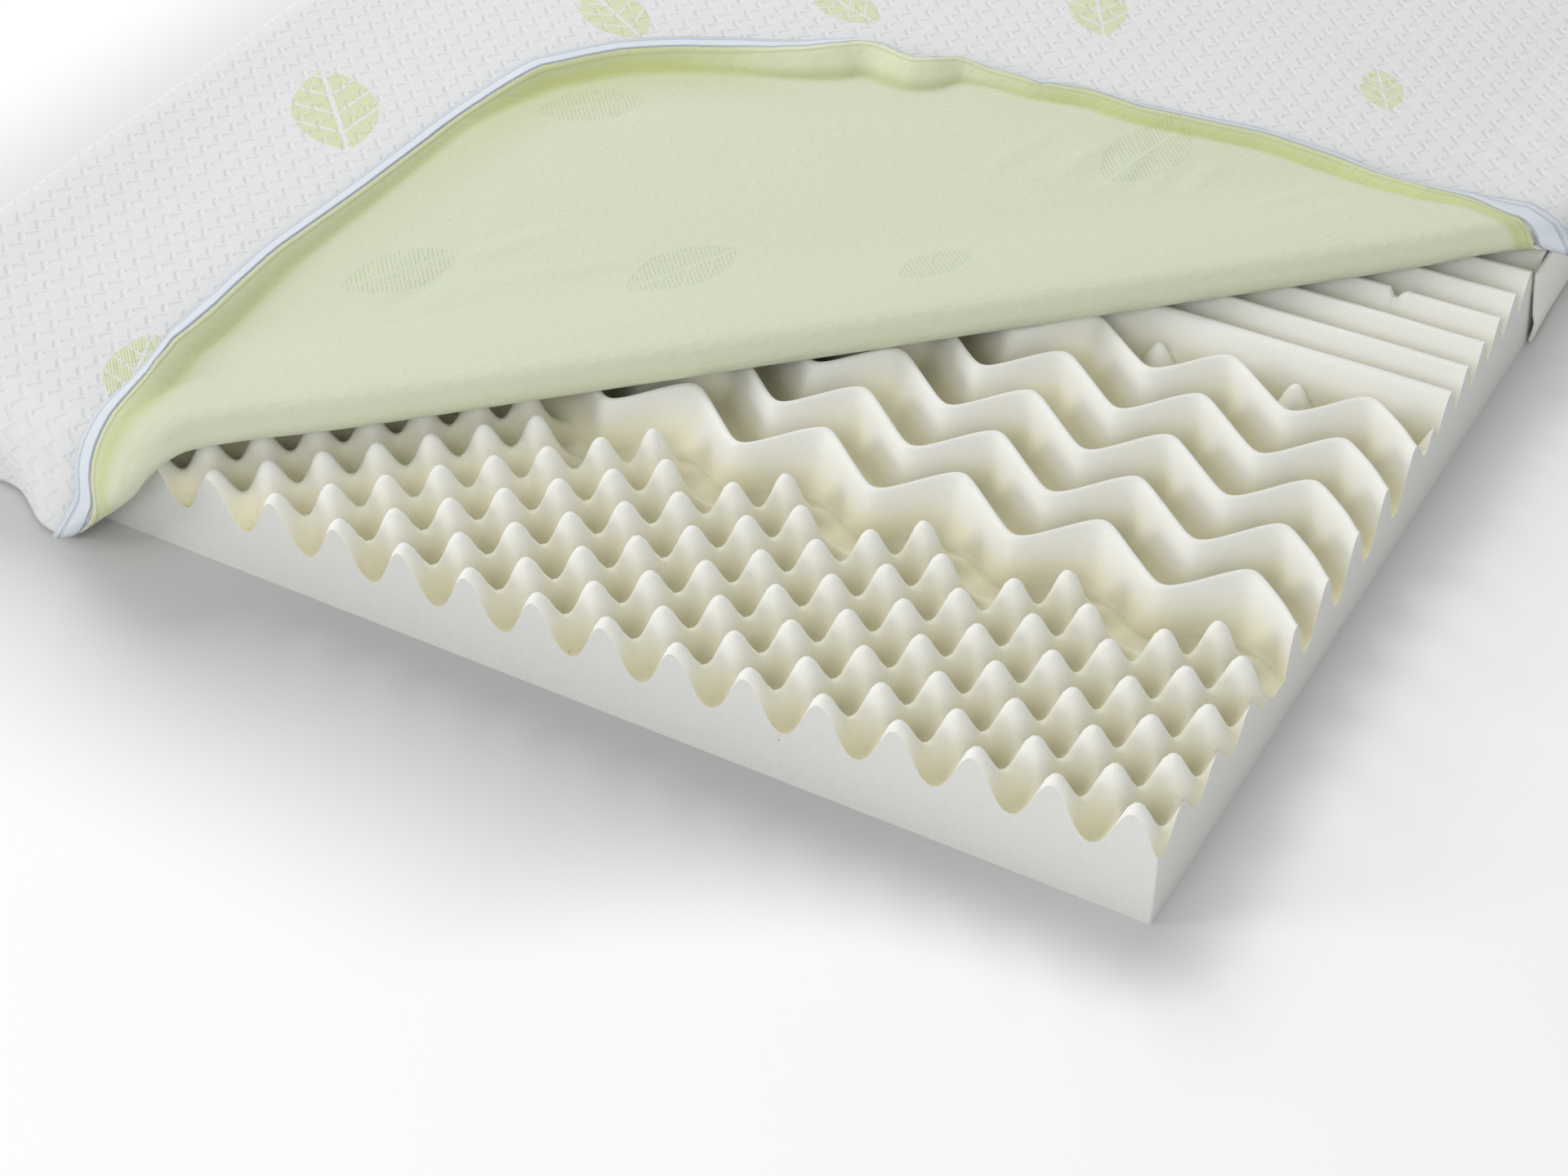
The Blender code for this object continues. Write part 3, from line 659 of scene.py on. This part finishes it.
def outside_finish():
    """White knit with embossed dashes, painted shade in their grooves, and pale leaves."""
    made = Finish("cover_outside", roughness=0.85, sheen=0.15)
    cut = made.attribute("cut")
    height, groove = knit_relief(made, cut)
    leaf, hatch = leaf_share(made, HATCH_OUTSIDE)
    white = made.mix(made.noise(cut, WHITE_CLOUD), *WHITE)
    white = made.laid_on(white, GROOVE_SHADE_INK, groove)
    made.colour(made.mix(leaf_tint(made, leaf, hatch, LEAF_TINT), white, LEAF_COLOUR))
    made.bump(made.add(height, made.times(leaf, hatch, LEAF_RISE)))
    return made.material


def inside_finish():
    """The knit's inside: pale lime, greener along the hem, with painted shade there and in the band's
    crease, painted light on its panel, and faint dashes and leaves.
    """
    made = Finish("cover_inside", roughness=0.85, sheen=0.2)
    cut = made.attribute("cut")
    x, y, unused = made.part(cut)
    from_hem, over_band, unused = made.part(made.attribute("hem"))
    tint, spread, crease = made.part(made.attribute("band"))
    height, unused = knit_relief(made, cut)
    leaf, hatch = leaf_share(made, HATCH_INSIDE)
    lime = made.mix(made.noise(cut, LIME_CLOUD), *LIME)
    # green and painted shade on the flap beyond the band
    shaded_halo = made.add(HALO_TINT[0], made.times(spread, HALO_TINT[1]))
    shaded_halo = made.times(made.fade(from_hem, *HALO), shaded_halo)
    lime = made.mix(shaded_halo, lime, HALO_SHADED_GREEN)
    lime = made.mix(leaf_tint(made, leaf, hatch, LIME_LEAF_TINT), lime, LIME_LEAF)
    # the band's green, darker towards its foot by painted shade
    band = made.mix(made.steps(over_band, *BAND_COLOUR_STEP), *BAND_SHADED_GREENS)
    lime = made.mix(made.times(made.fade(over_band, *BAND_FADE), tint), lime, band)
    # painted light on the band's panel
    lime = made.laid_on(lime, PANEL_LIGHT_INK, made.times(made.fade(over_band, *PANEL_LIGHT_FADE), crease))
    # painted shade in the crease at the band's foot
    middle, *fade = CREASE_SHADE_FADE
    foot = made.fade(made.off(over_band, middle), *fade)
    lime = made.laid_on(lime, CREASE_SHADE_INK, made.times(foot, crease))
    middle, *fade = SEAM
    seam = made.fade(made.off(from_hem, middle), *fade)
    made.colour(made.laid_on(lime, SEAM_INK, seam))
    along = made.add(made.times(x, FOLD_LINE.x), made.times(y, FOLD_LINE.y))
    across = made.add(made.times(x, FOLD_NORMAL.x), made.times(y, FOLD_NORMAL.y))
    size, rise, stretch = CREPE
    crepe = made.noise(made.vector(made.times(along, stretch), across, 0.0), size, 2.0)
    cloth = made.add(made.times(crepe, rise), made.times(height, SHOW_THROUGH))
    made.bump(made.add(cloth, made.times(leaf, hatch, LIME_LEAF_RISE), made.times(seam, -SEAM_DEPTH)))
    return made.material


def tape_finish():
    """Woven tape, bluish white, with a white cord at the hem, a groove and the coil's edge; painted
    shade darkens the groove and a line beside the cord.
    """
    made = Finish("zip_tape_cloth", roughness=0.6, sheen=0.1)
    along, across, unused = made.part(made.attribute("route"))
    size, rise, stretch = TAPE_WEAVE
    weave = made.noise(made.vector(along, made.times(across, stretch), 0.0), size)
    lines = []
    for middle, half_width in TAPE_LINES:
        lines.append(made.fade(made.off(across, middle), half_width * LINE_CORE, half_width))
    line = made.math("MAXIMUM", *lines)
    coil = made.steps(made.off(made.wrap(along, TAPE_COIL / 2)), 0.0, TAPE_COIL / 2)
    coil = made.times(coil, made.steps(across, *COIL_START))
    blue = made.mix(weave, *TAPE_BLUE)
    blue = made.mix(made.fade(across, *TAPE_CORD), blue, TAPE_CORD_COLOUR)
    blue = made.laid_on(blue, COIL_INK, coil)
    made.colour(made.laid_on(blue, LINE_SHADE_INK, line))
    weave = made.times(weave, rise)
    made.bump(made.add(weave, made.times(line, -LINE_DEPTH), made.times(coil, -COIL_DEPTH)))
    return made.material


def lower_finish():
    """Plain off-white knit of the cover's lower half."""
    made = Finish("lower_cover_knit", roughness=0.85, sheen=0.15)
    place = made.place()
    size, rise = LOWER_LOOPS
    made.colour(made.mix(made.noise(place, LOWER_CLOUD), *LOWER_WHITE))
    made.bump(made.times(made.noise(place, size), rise))
    return made.material


# --- the foam's relief ---
def in_turn(x):
    """1 and -1 in turn, halfway between the pegs of the first row."""
    return np.cos(pi * (-x - FIRST_COLUMN - 0.5 * PITCH) / PITCH)


def zigzag(x):
    """How far right and back a ridge stands off its middle line, with rounded bends."""
    turn = in_turn(x)
    back = ZIGZAG * np.arcsin(ZIGZAG_ROUNDING * turn) / np.arcsin(ZIGZAG_ROUNDING)
    inside = smooth(-x, 0.0, PITCH / 2) * smooth(WIDTH + x, 0.0, PITCH / 2)
    return inside * (ZIGZAG_SHIFT[0] - ZIGZAG_SHIFT[1] * turn), back


def swing(row):
    """How much of the zigzag the grid's rows follow: all along the ridges, none elsewhere."""
    return smooth(row, LAST_PEGS, FIRST_RIDGE) * (1 - smooth(row, LAST_RIDGE, MINI_PEG_ROW))


def peg_height(x, y):
    across = np.cos(2 * pi * (-x - FIRST_COLUMN) / PITCH)
    along = np.cos(2 * pi * (y - FIRST_ROW) / ROW_PITCH)
    peg = 0.5 + 0.5 * across * along
    every_second = 0.5 + 0.5 * in_turn(x)
    last_row = smooth(y, *(LAST_PEGS - share * ROW_PITCH for share in THIN_OUT))
    peg = peg ** PEG_SHARPNESS
    peg = (peg - np.maximum(PEG_TIP - 1 + peg, 0.0) ** 2 / (4 * PEG_TIP)) / (1 - PEG_TIP / 4)
    peg = peg * blend(1.0, every_second, last_row)
    peg = peg * (1 - smooth(y, LAST_PEGS, LAST_PEGS + ROW_PITCH / 2))
    return blend(PEG_VALLEY, CREST, peg)


def ridge_height(row):
    turns = (row - FIRST_RIDGE) / RIDGE_PITCH
    ridge = blend(RIDGE_VALLEY, CREST, (0.5 + 0.5 * np.cos(2 * pi * turns)) ** RIDGE_SHARPNESS)
    return np.where((turns > -0.5) & (turns < RIDGES - 0.5), ridge, RIDGE_VALLEY)


def rib_height(y):
    lead_in = blend(RIDGE_VALLEY, CREST, smooth(y, MINI_PEG_ROW, FIRST_RIB - RIB_LAND))
    from_crest = np.abs((y - FIRST_RIB + RIB_PITCH / 2) % RIB_PITCH - RIB_PITCH / 2)
    slope = np.maximum(from_crest - RIB_LAND, 0) / (RIB_PITCH / 2 - RIB_LAND)
    return np.where(y < FIRST_RIB, lead_in, CREST - RIB_DEPTH * slope)


def mini_peg_height(x, y):
    across = (-x - FIRST_MINI_PEG + PITCH) % (2 * PITCH) - PITCH
    distance = np.hypot(across, y - MINI_PEG_ROW) / MINI_PEG_RADIUS
    return blend(RIDGE_VALLEY, MINI_PEG_TOP, 0.5 + 0.5 * np.cos(pi * np.minimum(distance, 1.0)))


def higher_of(first, second):
    """The higher of two surfaces, with a fillet where they meet."""
    meeting = np.maximum(FILLET - np.abs(first - second), 0.0)
    return np.maximum(first, second) + meeting ** 2 / (4 * FILLET)


def foam_height(x, y, row):
    height = ridge_height(row)
    front = y < FIRST_RIDGE + ZIGZAG
    back = y > LAST_RIDGE - RIDGE_PITCH
    others = (front, peg_height(x, y)), (back, rib_height(y)), (back, mini_peg_height(x, y))
    for part, other in others:
        height = higher_of(height, np.where(part, other, RIDGE_VALLEY))
    height = np.minimum(blend(height, CREST, smooth(behind_fold(x, y), *RUN_OUT)), CREST)
    sink = 0.5
    for turn_x, turn_y, start in UNEVEN_WAVES:
        sink = sink + 0.25 * np.sin(turn_x * x + turn_y * y + start)
    place, half_size, depth = NICK
    nick = np.maximum(np.abs(x - place[0]) / half_size[0], np.abs(y - place[1]) / half_size[1])
    return height - UNEVEN * sink - depth * (1 - smooth(nick, 0.5, 1.0))


def foam_columns():
    steps = np.arange(FIRST_COLUMN - PITCH / 4, RELIEF_WIDTH, PITCH / 4)
    relief = fine([0.0] + list(steps), FOAM_STEP)
    return -np.concatenate([relief, PLAIN_COLUMNS, [WIDTH]])[::-1]


def foam_rows():
    pegs = [0.0] + list(np.arange(FIRST_ROW, LAST_PEGS + 0.001, ROW_PITCH / 4))
    ridges = list(np.arange(FIRST_RIDGE, LAST_RIDGE + 0.001, RIDGE_PITCH / 4))
    lead_in = [LAST_RIDGE + RIDGE_PITCH / 4, MINI_PEG_ROW, FIRST_RIB - RIB_FOOT]
    ribs = []
    for crest in np.arange(FIRST_RIB, RELIEF_LENGTH, RIB_PITCH):
        ribs += [crest - RIB_LAND, crest + RIB_LAND, crest + RIB_PITCH / 2]
    relief = fine(pegs + ridges + lead_in + ribs, FOAM_STEP)
    return np.concatenate([relief, PLAIN_ROWS, [LENGTH]])


def add_foam():
    mesh, column, row = grid_of("foam_slab", foam_columns(), foam_rows())
    right, back = zigzag(column)
    x = column + right * swing(row)
    y = row + back * swing(row)
    height = foam_height(x, y, row)
    set_attribute(mesh, "relief", CREST - height, -behind_fold(x, y), 0 * x)
    set_points(mesh, x, y, height + share_of(-x, RISE) * share_of(y, RISE_SHARE))
    bm = bmesh.new()
    bm.from_mesh(mesh)
    rim = [edge for edge in bm.edges if edge.is_boundary]
    walls = bmesh.ops.extrude_edge_only(bm, edges=rim)["geom"]
    kinds = bmesh.types.BMVert, bmesh.types.BMEdge, bmesh.types.BMFace
    verts, edges, faces = ([element for element in walls if isinstance(element, kind)] for kind in kinds)
    for vert in verts:
        vert.co.z = 0.0
    underside = bmesh.ops.holes_fill(bm, edges=[edge for edge in bm.edges if edge.is_boundary])
    for face in faces + underside["faces"]:
        face.material_index = 1
    bmesh.ops.recalc_face_normals(bm, faces=bm.faces)
    for edge in bm.edges:
        edge.smooth = True
    for edge in rim + edges:
        edge.smooth = False
    bm.to_mesh(mesh)
    bm.free()
    obj = add_piece(mesh, foam_finish(), foam_cut_finish())
    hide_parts("foam_core")
    return obj


# --- the cover: flat cloth, folded, then draped over the slab ---
def corner_of(x, y):
    """Distances past the middle of the rounded corner, both above 0 in the corner itself."""
    return x - (BORDER - SIDE_DRAW - CORNER_ROUND), -BORDER + CORNER_ROUND - y


def draw_in(x, y):
    """Cut coordinates of the cloth: the turned-back corner is rounded, and its hems are drawn in."""
    y = y + FRONT_DRAW * share_of(-x, FRONT_SHARE) * (1 - smooth(y, -BORDER, FRONT_DRAW_END))
    x = x - SIDE_DRAW * share_of(y, SIDE_SHARE) * smooth(x, SIDE_DRAW_START, BORDER)
    across, along = corner_of(x, y)
    ring = np.maximum(across, along)
    length = np.maximum(np.hypot(across, along), 1e-6)
    reach = share_of(np.degrees(np.arctan2(along, across)), CORNER_HEM)
    stretch = ring / length * blend(1.0, reach, smooth(ring, CORNER_HEM_START, CORNER_ROUND))
    in_corner = (across > 0) & (along > 0)
    out_x = np.maximum(across, 0.0)
    out_y = -np.maximum(along, 0.0)
    x = np.where(in_corner, x + across * (stretch - 1), x)
    y = np.where(in_corner, y - along * (stretch - 1), y)
    shift = share_of(along_fold(x, y), HEM_SHIFT)
    shift = shift * (1 - smooth(CORNER_ROUND - ring, 0.0, HEM_SHIFT_WIDTH))
    shift = shift / np.maximum(np.hypot(out_x, out_y), 1e-6)
    return x + out_x * shift, y + out_y * shift


def inner_of(x, y):
    """The nearest points of the slab's top inside its rounded edge."""
    return np.clip(x, -WIDTH + INSET, -INSET), np.clip(y, INSET, LENGTH - INSET)


def from_sides(x, y):
    """Distances of points of the slab's top from its four sides."""
    return np.stack([-x, x + WIDTH, y, LENGTH - y])


def cut_place(x, y):
    """A point of the flat cloth, whose three other corners are rounded round the slab's."""
    drawn_x, drawn_y = draw_in(x, y)
    inner_x, inner_y = inner_of(x, y)
    past_x = x - inner_x
    past_y = y - inner_y
    distance = np.maximum(np.abs(past_x), np.abs(past_y))
    length = np.maximum(np.hypot(past_x, past_y), 1e-6)
    near = (x > -NEAR_FOLD[0]) & (y < NEAR_FOLD[1])
    x = np.where(near, drawn_x, inner_x + past_x * distance / length)
    y = np.where(near, drawn_y, inner_y + past_y * distance / length)
    return x, y


def roll_radius(along):
    """The roll is full in the middle and tighter where it runs over the slab's edges."""
    left_end, right_end = ROLL_ENDS
    full = smooth(along, *left_end) * (1 - smooth(along, *right_end))
    return blend(ROLL_RADIUS_END, ROLL_RADIUS, full)


def round_corner(front, side):
    """Points of the flat cloth's front side up to its right corner, and of its right side from there."""
    x = np.concatenate([front, np.full(len(side), BORDER)])
    return x, np.concatenate([np.full(len(front), -BORDER), side])


def flap_hem():
    """Points along the flap's hem, in cut coordinates."""
    front = np.arange(TAPE_START - HEM_BEYOND[0], BORDER, HEM_STEP)
    side = np.arange(-BORDER, TAPE_END + HEM_BEYOND[1], HEM_STEP)
    return np.stack(draw_in(*round_corner(front, side)), axis=1)


def from_line(x, y, start_x, start_y, end_x, end_y):
    """How far along a line points are, from 0 to 1, and their distance from it."""
    way_x = end_x - start_x
    way_y = end_y - start_y
    along = ((x - start_x) * way_x + (y - start_y) * way_y) / (way_x ** 2 + way_y ** 2)
    along = np.clip(along, 0.0, 1.0)
    return along, np.hypot(x - start_x - along * way_x, y - start_y - along * way_y)


def hem_distance(x, y):
    """Distance of points of the flat cloth from the flap's hem, below 0 beyond it."""
    hem = flap_hem()
    nearest = np.full(np.shape(x), np.inf)
    for start, end in zip(hem[:-1], hem[1:]):
        distance = from_line(x, y, *start, *end)[1]
        way_x, way_y = end - start
        inside = way_x * (y - start[1]) - way_y * (x - start[0]) > 0
        closer = distance < np.abs(nearest)
        nearest = np.where(closer, np.where(inside, distance, -distance), nearest)
    return nearest


def set_hem(mesh, x, y):
    """Keep each point's distance from the flap's hem, the same over the band's width, and its tints with
    their painted light and shade.
    """
    place = along_fold(x, y)
    from_hem = hem_distance(x, y)
    width = columns_of(place, BAND)[1]
    set_attribute(mesh, "hem", from_hem, from_hem / width, 0 * x)
    set_attribute(mesh, "band", *columns_of(place, BAND_TINT))


def band_height(x, y):
    """How much the cloth stands up towards the flap's hem, and how the tape drops beyond it."""
    place = along_fold(x, y)
    from_hem = hem_distance(x, y)
    rise, width, drop = columns_of(place, BAND)
    spread = columns_of(place, BAND_TINT)[1]
    slope = 1 - np.clip(from_hem / width, 0.0, 1.0) ** BAND_ROUNDING
    late_slope = (1 - np.clip(from_hem / (width * CURL), 0.0, 1.0)) ** 2
    beyond = np.clip(-from_hem / TAPE_WIDTH, 0.0, 1.0)
    return rise * blend(slope, late_slope, spread) - drop * beyond ** DROP_ROUNDING


def crease_height(x, y):
    """How much the soft creases stand up from the cloth, at points of the cut cloth."""
    lines = list(CREASES)
    for start_x, start_y, end_x, end_y, half_width, rise in FLAP_CREASES:
        lines.append((*unfolded(start_x, start_y), *unfolded(end_x, end_y), half_width, rise))
    height = 0 * x
    for *line, half_width, rise in lines:
        along, distance = from_line(x, y, *line)
        soft = 1 - smooth(distance, 0.0, half_width)
        height = height + rise * soft * np.sin(pi * along) ** CREASE_ROUNDING
    return height


def fold_bend(along):
    """The axis is straight over the slab's top and bends where it runs down its borders."""
    front, side = BENDS
    return FOOT_BEND * (1 - smooth(along, *front)) + SIDE_BEND * smooth(along, *side)


def fold(x, y):
    """Where points of the flat cloth lie once the corner is folded back, and how high over the cloth."""
    along = along_fold(x, y)
    past = -behind_fold(x, y) - fold_bend(along)
    radius = roll_radius(along)
    angle = np.clip(past / radius, 0.0, pi)
    beyond = np.maximum(past - pi * radius, 0.0)
    back = np.where(past > 0, past - radius * np.sin(angle) + beyond, 0.0)
    sunk = smooth(beyond, 0.0, FLAP_SETTLE)
    height = radius * (1 - np.cos(angle))
    flap = blend(2 * radius, FLAP_REST, sunk) + band_height(x, y) * smooth(beyond, 0.0, FLAP_START)
    height = np.where(beyond > 0, flap, height) + crease_height(x, y)
    return x - FOLD_NORMAL.x * back, y - FOLD_NORMAL.y * back, height


def hang(x, y, inner_x, inner_y, way_y, hanging):
    """How much further out the border stands than straight down, from how far down it is."""
    to_hem = smooth(hanging, 0.0, BORDER - EDGE_RADIUS)
    front = way_y < 0
    front_open = 1 - smooth(np.abs(x + FOLD_FRONT + BORDER / 2), BORDER / 2, FOOT_WIDTH)
    side_open = 1 - smooth(np.abs(y - FOLD_SIDE), BORDER, 2 * FOOT_WIDTH)
    open_end = np.where(front, front_open, side_open)
    flare = np.where(front, 1 - smooth(np.abs(x + FOOT_FLARE_FROM), 0.0, FOOT_FLARE_WIDTH), 0.0)
    from_ends = np.sort(from_sides(inner_x, inner_y), axis=0)
    at_corner = 1 - smooth(from_ends[1], 0.0, CORNER_LENGTH)
    tuck = HEM_TUCK * (1 - open_end) * (1 - at_corner)
    return (FOOT_FLARE * flare - tuck) * to_hem


def drape(x, y, height):
    """Points of the cloth laid over the slab: flat on top, round over the edge, then hanging."""
    inner_x, inner_y = inner_of(x, y)
    distance = np.hypot(x - inner_x, y - inner_y)
    length = np.maximum(distance, 1e-6)
    way_x = (x - inner_x) / length
    way_y = (y - inner_y) / length
    from_edge = from_sides(inner_x, inner_y).min(axis=0) - INSET
    top = CREST + SEAT + CLOTH / 2 + EDGE_LOFT * (1 - smooth(from_edge, 0.0, EDGE_LOFT_WIDTH))
    angle = np.minimum(distance / EDGE_RADIUS, pi / 2)
    hanging = np.maximum(distance - EDGE_RADIUS * pi / 2, 0.0)
    slanting = 2 * np.minimum(np.abs(way_x), np.abs(way_y)) * smooth(distance, 0.0, EDGE_RADIUS / 2)
    height = height + CORNER_STAND * slanting
    stand = (EDGE_RADIUS + height) * np.sin(angle) + hang(x, y, inner_x, inner_y, way_y, hanging)
    z = top - EDGE_RADIUS * (1 - np.cos(angle)) - hanging + height * np.cos(angle)
    return inner_x + way_x * stand, inner_y + way_y * stand, z


def unfolded(x, y):
    """Cut coordinates of the flap's point that lies at this place."""
    cut = Vector((x, y)) + FOLD_NORMAL * (pi * ROLL_RADIUS + 2 * behind_fold(x, y))
    return cut.x, cut.y


def all_leaves():
    """Middle, direction and length of each leaf on the whole cover, in cut coordinates."""
    leaves = [(x, y, radians(turn), length) for x, y, turn, length in LEAVES]
    mirror = 2 * np.arctan2(FOLD_LINE.y, FOLD_LINE.x)
    for x, y, turn, length in FLAP_LEAVES:
        leaves.append((*unfolded(x, y), mirror - radians(turn), length))
    random = np.random.default_rng(LEAF_SEED)
    for x in np.arange(-WIDTH + LEAF_MARGIN, BORDER, LEAF_GRID):
        for y in np.arange(0.0, LENGTH + BORDER, LEAF_GRID):
            shift_x, shift_y, turn, size = random.uniform(size=4)
            middle = (x + LEAF_SCATTER * shift_x, y + LEAF_SCATTER * shift_y)
            near = min(np.hypot(middle[0] - leaf[0], middle[1] - leaf[1]) for leaf in leaves)
            in_tables = behind_fold(*middle) > 0 and middle[1] < TABLES_END
            if near > LEAF_APART and not in_tables:
                turn = radians(blend(*LEAF_TURNS, turn))
                leaves.append((*middle, turn, blend(*LEAF_LENGTHS, size)))
    return leaves


def set_leaves(mesh, x, y):
    """Keep each point's place in its nearest leaf, over the leaf's length, and how near that leaf is."""
    leaves = np.array(all_leaves())
    nearest = np.argmin([np.hypot(x - leaf[0], y - leaf[1]) for leaf in leaves], axis=0)
    middle_x, middle_y, turn, length = leaves[nearest].T
    along = ((x - middle_x) * np.cos(turn) + (y - middle_y) * np.sin(turn)) / length
    across = (-(x - middle_x) * np.sin(turn) + (y - middle_y) * np.cos(turn)) / length
    near = 1.0 * (np.hypot(along, across) < LEAF_REACH)
    set_attribute(mesh, "leaf", along, across, near)


def runs(ends, steps):
    """Mesh lines from end to end, with each run's own steps."""
    parts = [fine(run, step)[:-1] for *run, step in zip(ends[:-1], ends[1:], steps)]
    return np.concatenate(parts + [ends[-1:]])


def cover_columns():
    ends = [-WIDTH - BORDER, -WIDTH + FAR_MARGIN, -NEAR_FOLD[0], BORDER - HEM_ZONE, BORDER]
    return runs(ends, [CLOTH_STEP, FAR_CELL[0], CLOTH_STEP, HEM_CELL])


def cover_rows():
    ends = [-BORDER, -BORDER + HEM_ZONE, NEAR_FOLD[1], LENGTH - FAR_MARGIN, LENGTH + BORDER]
    return runs(ends, [HEM_CELL, CLOTH_STEP, FAR_CELL[1], CLOTH_STEP])


def add_cover():
    mesh, x, y = grid_of("knit_cover", cover_columns(), cover_rows())
    cut_x, cut_y = cut_place(x, y)
    set_attribute(mesh, "cut", cut_x, cut_y, 0 * x)
    set_hem(mesh, cut_x, cut_y)
    set_leaves(mesh, cut_x, cut_y)
    set_points(mesh, *drape(*fold(cut_x, cut_y)))
    obj = add_piece(mesh, outside_finish(), inside_finish())
    add_thickness(obj, CLOTH, inside=1)
    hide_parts("cover")
    return obj


# --- zip tape and lower cover edge ---
def add_tape():
    """The tape goes on past the flap's hem, from the fold's foot round the corner to its right end."""
    front = fine([TAPE_START, BORDER], CLOTH_STEP)
    side = fine([-BORDER, TAPE_END], CLOTH_STEP)
    corner = len(front) - 1
    route_x, route_y = round_corner(front, side[1:])
    offsets = fine([TAPE_GAP, TAPE_WIDTH], TAPE_CELL)
    mesh, offset, step = grid_of("zip_tape", offsets, np.arange(len(route_x)))
    x = route_x[step] + np.where(step >= corner, offset, 0.0)
    y = route_y[step] - np.where(step <= corner, offset, 0.0)
    set_attribute(mesh, "route", x + y, offset, 0 * offset)
    set_points(mesh, *drape(*fold(*cut_place(x, y))))
    obj = add_piece(mesh, tape_finish())
    add_thickness(obj, TAPE)
    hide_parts("zipper_tape")


def add_lower_edge():
    """A strip standing against the slab's side, from under the fold to behind the hanging border."""
    heights = [height for height, stand in EDGE_LEAN]
    lean_end = EDGE_START + EDGE_START_LENGTH
    columns = fine([EDGE_START, EDGE_END], EDGE_CELL)
    mesh, y, z = grid_of("lower_cover_strip", columns, fine(heights, EDGE_CELL))
    start = 1 - smooth(y, EDGE_START, lean_end)
    x = blend(EDGE_CLOTH / 2 + SEAT, share_of(z, EDGE_LEAN), start)
    set_points(mesh, x, y + EDGE_SLANT * start * z / heights[-1], z)
    obj = add_piece(mesh, lower_finish())
    add_thickness(obj, EDGE_CLOTH)
    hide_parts("lower_cover_edge")


# --- floor, light and camera ---
FLOOR_SIZE = 14.0
FLOOR_SHADE = 0.24  # width of the painted shadow in front of the slab
FLOOR_SHADE_RIGHT = 2.7  # how many times narrower it is on the right
FLOOR_PALING = (0.26, 0.3)  # length of the front side, up to its right end, over which it pales
FLOOR_NARROWING = (0.34, 2.0)  # the same over which it narrows, and by how many times more
FLOOR_LEFT = (0.75, 0.50)  # between these distances from the right side its grey turns darker
# painted shadow: greys of the floor next to the slab
FLOOR_SHADOW_GREY = (0.50, 0.50, 0.50)
FLOOR_SHADOW_GREY_LEFT = (0.66, 0.66, 0.66)
FLOOR_WHITE = (0.97, 0.97, 0.97)
WORLD_LIGHT = 0.48
LIGHTS = (
    # name, place, where it points, size and power
    ("key", (-2.17, 1.29, 2.78), (-0.1, -0.7, 0.0), (2.2, 2.2), 72),
    ("left", (-3.6, -3.6, 1.7), (-0.1, -0.6, 0.0), (1.6, 1.2), 57),
    ("right", (3.3, -3.6, 1.9), (0.0, -0.6, 0.0), (3.0, 2.0), 26),
    ("front", (0.55, -3.2, 1.75), (-0.1, -0.7, 0.0), (1.4, 1.0), 17),
)
SENSOR = 36.0
LENS = 65.82
CAMERA_PLACE = Vector((0.3517, -0.9810, 1.0907))  # from the slab's front right corner
CAMERA_DOWN = radians(39.99)
CAMERA_LEFT = radians(30.13)
CAMERA_ROLL = radians(-0.656)


def add_floor():
    """A pale floor, with the soft grey round the slab that the photograph has, painted on as a shadow.
    """
    bpy.ops.mesh.primitive_plane_add(size=FLOOR_SIZE, location=(0.0, 0.0, 0.0))
    floor = bpy.context.object
    floor.name = "floor"
    made = Finish("pale_floor", roughness=0.7)
    x, y, unused = made.part(made.place())
    length, pace = FLOOR_PALING
    end = made.math("MINIMUM", made.past(x, SLAB.x - length), length)
    right = made.times(made.past(x, SLAB.x), FLOOR_SHADE_RIGHT)
    right = made.add(right, made.times(end, pace))
    left = made.past(SLAB.x - WIDTH, x)
    length, narrower = FLOOR_NARROWING
    narrowing = made.steps(x, SLAB.x - length, SLAB.x, 1.0, 1.0 + narrower)
    front = made.times(made.past(SLAB.y, y), narrowing)
    away = made.math("SQRT", made.add(*(made.times(side, side) for side in (right, left, front))))
    darker = made.steps(x, *(SLAB.x - distance for distance in FLOOR_LEFT))
    # painted shadow round the slab
    grey = made.mix(darker, FLOOR_SHADOW_GREY_LEFT, FLOOR_SHADOW_GREY)
    made.colour(made.mix(made.steps(away, 0.0, FLOOR_SHADE), grey, FLOOR_WHITE))
    floor.data.materials.append(made.material)


def add_light():
    world = bpy.data.worlds.new("studio")
    world.use_nodes = True
    background = world.node_tree.nodes["Background"].inputs
    background["Color"].default_value = (1.0, 1.0, 1.0, 1.0)
    background["Strength"].default_value = WORLD_LIGHT
    bpy.context.scene.world = world
    for name, place, target, size, power in LIGHTS:
        light = bpy.data.lights.new(name, "AREA")
        light.shape = "RECTANGLE"
        light.size, light.size_y = size
        light.energy = power
        obj = add_object(name, light)
        obj.location = place
        obj.rotation_euler = (Vector(target) - obj.location).to_track_quat("-Z", "Y").to_euler()
    bpy.context.scene.view_settings.view_transform = "Standard"


def add_camera():
    camera = bpy.data.cameras.new("camera")
    camera.sensor_width = SENSOR
    camera.lens = LENS
    obj = add_object("camera", camera)
    obj.location = SLAB + CAMERA_PLACE
    turn = Euler((pi / 2 - CAMERA_DOWN, 0.0, CAMERA_LEFT)).to_matrix()
    roll = Euler((0.0, 0.0, CAMERA_ROLL)).to_matrix()
    obj.rotation_euler = (turn @ roll).to_euler()
    bpy.context.scene.camera = obj


foam = add_foam()
cover = add_cover()
add_tape()
add_lower_edge()
add_floor()
add_light()
add_camera()
